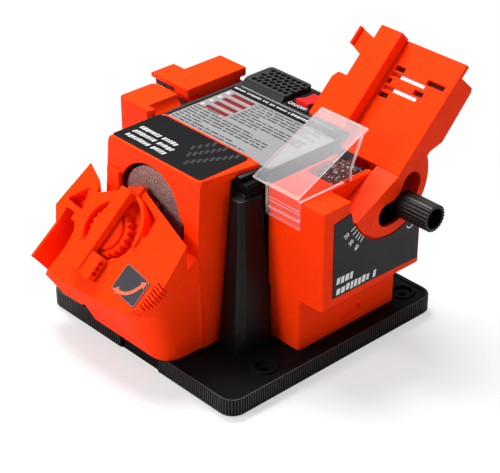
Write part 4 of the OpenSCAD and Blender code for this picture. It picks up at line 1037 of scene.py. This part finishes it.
def printed(name, outlines, place, level, node, finish):
    """Thin ink on a label."""
    blocks(name, [(outline, level, level + INK_MM) for outline in outlines], place, node, finish)


def slanted(x0, y0, x1, y1, lean):
    shift = lean * (y1 - y0)
    return [(x0, y0), (x1, y0), (x1 + shift, y1), (x0 + shift, y1)]


def word_row(rng, x0, x1, y, height, letter, gap, lean=0.0, space=1.7):
    """Letter-like strokes between two places, parted into words."""
    strokes = []
    x = x0
    while x < x1:
        for _ in range(rng.randint(3, 9)):
            wide = rng.uniform(*letter)
            if x + wide > x1:
                return strokes
            low = y - height * rng.uniform(0.32, 0.5)
            strokes.append(slanted(x, low, x + wide, y + height * rng.uniform(0.36, 0.5), lean))
            x += wide + gap
        x += space
    return strokes


def lettering(name, text, size_mm, place, level, node, finish):
    """Plain letters or numerals as thin ink."""
    curve = bpy.data.curves.new(name, "FONT")
    curve.body = text
    curve.size = size_mm
    curve.align_x = "CENTER"
    curve.align_y = "CENTER"
    curve.extrude = INK_MM / 2
    curve.offset = 0.02 * size_mm
    sample = add_object(name + "_curve", curve)
    graph = bpy.context.evaluated_depsgraph_get()
    mesh = bpy.data.meshes.new_from_object(sample.evaluated_get(graph))
    bpy.data.objects.remove(sample)
    mesh.transform(place @ Matrix.Translation((0, 0, level + INK_MM / 2)))
    added(name, mesh, node, finish)


PANEL_TOP = 139.1
LID_TOP = 138.5
FLANGE_TOP = 140.1
SWITCH_WORDS = (-9.9, 64.4)
SWITCH_WORD_SIZE = 5.0
BAR_ROWS = (43.5, 34.9, 26.5, 18)
PANEL_ROWS = 17


def print_panel():
    rng = random.Random(11)
    node = "instruction_panel"
    header = [rectangle(-67, 48.8, 44.8, 56.3), rectangle(-66.8, -15, -64.6, 48.8)]
    printed("panel_header", header, PLAN, PANEL_TOP, node, "top_black")
    bars = [rectangle(-57, y - 2.2, -34, y + 2.2) for y in BAR_ROWS]
    printed("panel_bars", bars, PLAN, PANEL_TOP, node, "print_red")
    gaps = [rectangle(-57, y - 4.2, -34, y - 2.3) for y in BAR_ROWS]
    printed("panel_gaps", gaps, PLAN, PANEL_TOP, node, "print_pink")
    marks = [rectangle(-62.6, y - 1.6, -60, y + 1.6) for y in BAR_ROWS]
    printed("panel_marks", marks, PLAN, PANEL_TOP, node, "top_white")
    heads = word_row(rng, -65, -6, 53.6, 2.4, (0.9, 1.7), 0.6)
    heads += word_row(rng, -4.8, 11.4, 53.8, 3.2, (1.6, 3.2), 0.8)
    printed("panel_headline", heads, PLAN, PANEL_TOP + INK_MM, node, "top_white")
    rows = []
    for i in range(PANEL_ROWS):
        y = 46 - 3.5 * i
        start = -31.5 if y > 14.5 else -63
        end = rng.uniform(28, 42) if y > 20 else rng.uniform(-4, 22)
        if i % 5 == 4:
            end = start + rng.uniform(16, 30)
        rows += word_row(rng, start, end, y, 1.7, (0.6, 1.3), 0.35, 0, 1.3)
    printed("panel_rows", rows, PLAN, PANEL_TOP, node, "print_dark")
    printed("lid_line", [rectangle(-64, 59.3, 20, 59.8)], PLAN, LID_TOP, "top_cover", "top_white")
    place = moved(PLAN, *SWITCH_WORDS)
    lettering("switch_words", "ON/OFF", SWITCH_WORD_SIZE, place, FLANGE_TOP, "switch_body", "top_white")


DRILL_HEAD_TOP = 142.0
DRILL_LABEL_TOP = 142.1
DRILL_SHAPES = (((-11, -38.6), (-2.4, -19.6)), ((-5.2, -46.8), (7.9, -19.4)), ((2, -55.4), (21.8, -20.4)))
TWIST_PITCH = 4.2
TWIST_WIDTH = 2.2
LABEL_ROWS = ((-59, -42.2, 41), (-58, -49.2, 43), (-58, -56.2, 42))


def print_drill_label():
    rng = random.Random(5)
    rows = []
    for x, y, length in LABEL_ROWS:
        rows += word_row(rng, x, x + length, y, 4.4, (1.5, 2.9), 0.9, 0.22, 2.4)
    printed("drill_label_rows", rows, PLAN, DRILL_LABEL_TOP, "drill_label", "top_white")
    edge = rounded(-64.7, -64.3, 28.8, -19.2, 2.8)
    printed("drill_label_edge", [edge], PLAN, DRILL_HEAD_TOP, "drill_label", "top_black")
    twists = []
    for start, end in DRILL_SHAPES:
        a, b = Vector(start), Vector(end)
        along = (b - a).normalized()
        across = Vector((-along.y, along.x)) * 2.3
        count = int((b - a).length / TWIST_PITCH)
        for i in range(count):
            middle = a.lerp(b, (i + 0.5) / count)
            low = middle - across - along * 2
            high = middle + across + along * 2
            twists.append(stroke([tuple(low), tuple(high)], TWIST_WIDTH))
    printed("drill_label_twists", twists, PLAN, DRILL_LABEL_TOP, "drill_label", "print_grey")


PLANE_LABEL_X = 107.6
SCALE_TICKS = (-152.6, -147, -141.5, -137, -132)
NUMBER_SIZE = 4.6
SCALE_NUMBERS = ((-152.7, "20"), (-142.6, "30"), (-132.7, "40"))
BLADE_SHAPE = [(46, 84.6), (62, 83.3), (56.7, 64.5), (37.8, 74.6)]


def print_plane_label():
    rng = random.Random(3)
    node = "plane_label"
    ticks = [stroke([polar(38.2, a, TILT_PLACE), polar(43, a, TILT_PLACE)], 0.75) for a in SCALE_TICKS]
    rows = word_row(rng, -11.5, 11, 75.6, 6, (2.2, 3.6), 1.2, 0.16, 3)
    rows += word_row(rng, -11.5, 28.6, 67.4, 6, (2.2, 3.6), 1.2, 0.16, 3)
    arc_mark = band((60.7, 93), 2.6, 3.5, 190, 350, 10)
    printed("plane_label_marks", ticks + rows + [arc_mark], SIDE, PLANE_LABEL_X, node, "print_white")
    for angle, number in SCALE_NUMBERS:
        place = moved(SIDE, *polar(47.6, angle, TILT_PLACE), angle + 180)
        lettering("scale_" + number, number, NUMBER_SIZE, place, PLANE_LABEL_X, node, "print_white")
    printed("plane_label_blade", [BLADE_SHAPE], SIDE, PLANE_LABEL_X, node, "print_faint")


ARROW_TOP = 0.5
ARROW_STEPS = 12
ARROW_WIDTH = 2.5
BORDER_PLACE = (8.4, -42.4)
BORDER_TURN = -8.5


def print_arrow():
    start, end, lowest = Vector((-1.4, -49.6)), Vector((18.4, -37.4)), Vector((9.2, -48.2))
    bend = 2 * lowest - (start + end) / 2
    curve = []
    for i in range(ARROW_STEPS + 1):
        t = i / ARROW_STEPS
        curve.append(tuple((1 - t) ** 2 * start + 2 * t * (1 - t) * bend + t * t * end))
    printed("arrow", [stroke(curve, ARROW_WIDTH)], FACE, ARROW_TOP, "arrow_label", "print_salmon")
    heads = []
    for place, back in (((-4.4, -50.3), curve[1]), ((20.8, -34.6), curve[-2])):
        tip = Vector(place)
        along = (tip - Vector(back)).normalized()
        across = Vector((-along.y, along.x)) * 3.1
        foot = tip - along * 5
        heads.append([tuple(tip), tuple(foot + across), tuple(foot - across)])
    printed("arrow_heads", heads, FACE, ARROW_TOP + INK_MM / 2, "arrow_label", "print_salmon")
    outer = rounded(-13.4, -10.4, 13.4, 10.4, 2.4)
    inner = rounded(-13.0, -10.0, 13.0, 10.0, 2.2)
    border = [list(corners) for corners in zip(outer, inner, inner[1:] + inner[:1], outer[1:] + outer[:1])]
    place = moved(FACE, *BORDER_PLACE, BORDER_TURN)
    printed("arrow_border", border, place, ARROW_TOP, "arrow_label", "print_salmon")


print_panel()
print_drill_label()
print_plane_label()
print_arrow()

# Stage
FLOOR_SIZE = 8.0
FLOOR_COLOUR = (0.74, 0.75, 0.76, 1)
FADE_FROM = 0.12
FADE_TO = 0.33
FLOOR_GLOW = 0.55


def make_floor():
    mesh = bpy.data.meshes.new("floor")
    half = FLOOR_SIZE / 2
    corners = [(x, y, 0) for x, y in rectangle(-half, -half, half, half)]
    mesh.from_pydata(corners, [], [(0, 1, 2, 3)])
    floor = add_object("floor", mesh)
    shader = Shader("floor")
    shader.set(Base_Color=FLOOR_COLOUR, Roughness=0.6)
    length = shader.add("ShaderNodeVectorMath", operation="LENGTH")
    shader.link(shader.place, length.inputs[0])
    fade = shader.add("ShaderNodeMapRange", interpolation_type="SMOOTHSTEP")
    fade.inputs["From Min"].default_value = FADE_FROM
    fade.inputs["From Max"].default_value = FADE_TO
    fade.inputs["To Min"].default_value = FLOOR_GLOW
    shader.link(length.outputs["Value"], fade.inputs["Value"])
    path = shader.add("ShaderNodeLightPath")
    seen = shader.add("ShaderNodeMath", operation="MULTIPLY")
    shader.link(fade.outputs["Result"], seen.inputs[0])
    shader.link(path.outputs["Is Camera Ray"], seen.inputs[1])
    white = shader.add("ShaderNodeEmission")
    mix = shader.add("ShaderNodeMixShader")
    shader.link(seen.outputs["Value"], mix.inputs["Fac"])
    shader.link(shader.surface.outputs["BSDF"], mix.inputs[1])
    shader.link(white.outputs["Emission"], mix.inputs[2])
    shader.link(mix.outputs["Shader"], shader.tree.nodes["Material Output"].inputs["Surface"])
    mesh.materials.append(shader.material)


make_floor()

WORLD_LIGHT = 0.2


def make_world():
    world = bpy.data.worlds.new("world")
    world.use_nodes = True
    tree = world.node_tree
    background = tree.nodes["Background"]
    path = tree.nodes.new("ShaderNodeLightPath")
    either = tree.nodes.new("ShaderNodeMath")
    either.operation = "MAXIMUM"
    tree.links.new(path.outputs["Is Camera Ray"], either.inputs[0])
    tree.links.new(path.outputs["Is Transmission Ray"], either.inputs[1])
    level = tree.nodes.new("ShaderNodeMapRange")
    level.inputs["To Min"].default_value = WORLD_LIGHT
    level.inputs["To Max"].default_value = 1.0
    tree.links.new(either.outputs["Value"], level.inputs["Value"])
    background.inputs["Color"].default_value = (1, 1, 1, 1)
    tree.links.new(level.outputs["Result"], background.inputs["Strength"])
    bpy.context.scene.world = world


make_world()


def area_light(name, place, aim, size, watts):
    data = bpy.data.lights.new(name, "AREA")
    data.shape = "RECTANGLE"
    data.size, data.size_y = size
    data.energy = watts
    lamp = add_object(name, data)
    lamp.location = place
    lamp.rotation_mode = "QUATERNION"
    lamp.rotation_quaternion = (Vector(aim) - Vector(place)).to_track_quat("-Z", "Y")


OBJECT_MIDDLE = (0, 0, 0.08)
area_light("key", (-0.4, -1.25, 0.9), OBJECT_MIDDLE, (0.5, 0.5), 16)
area_light("top", (-0.5, 0.15, 1.25), OBJECT_MIDDLE, (0.55, 0.55), 30)
area_light("right", (1.2, 0.1, 0.7), OBJECT_MIDDLE, (0.6, 0.9), 2.6)

bpy.context.scene.view_settings.view_transform = "Standard"
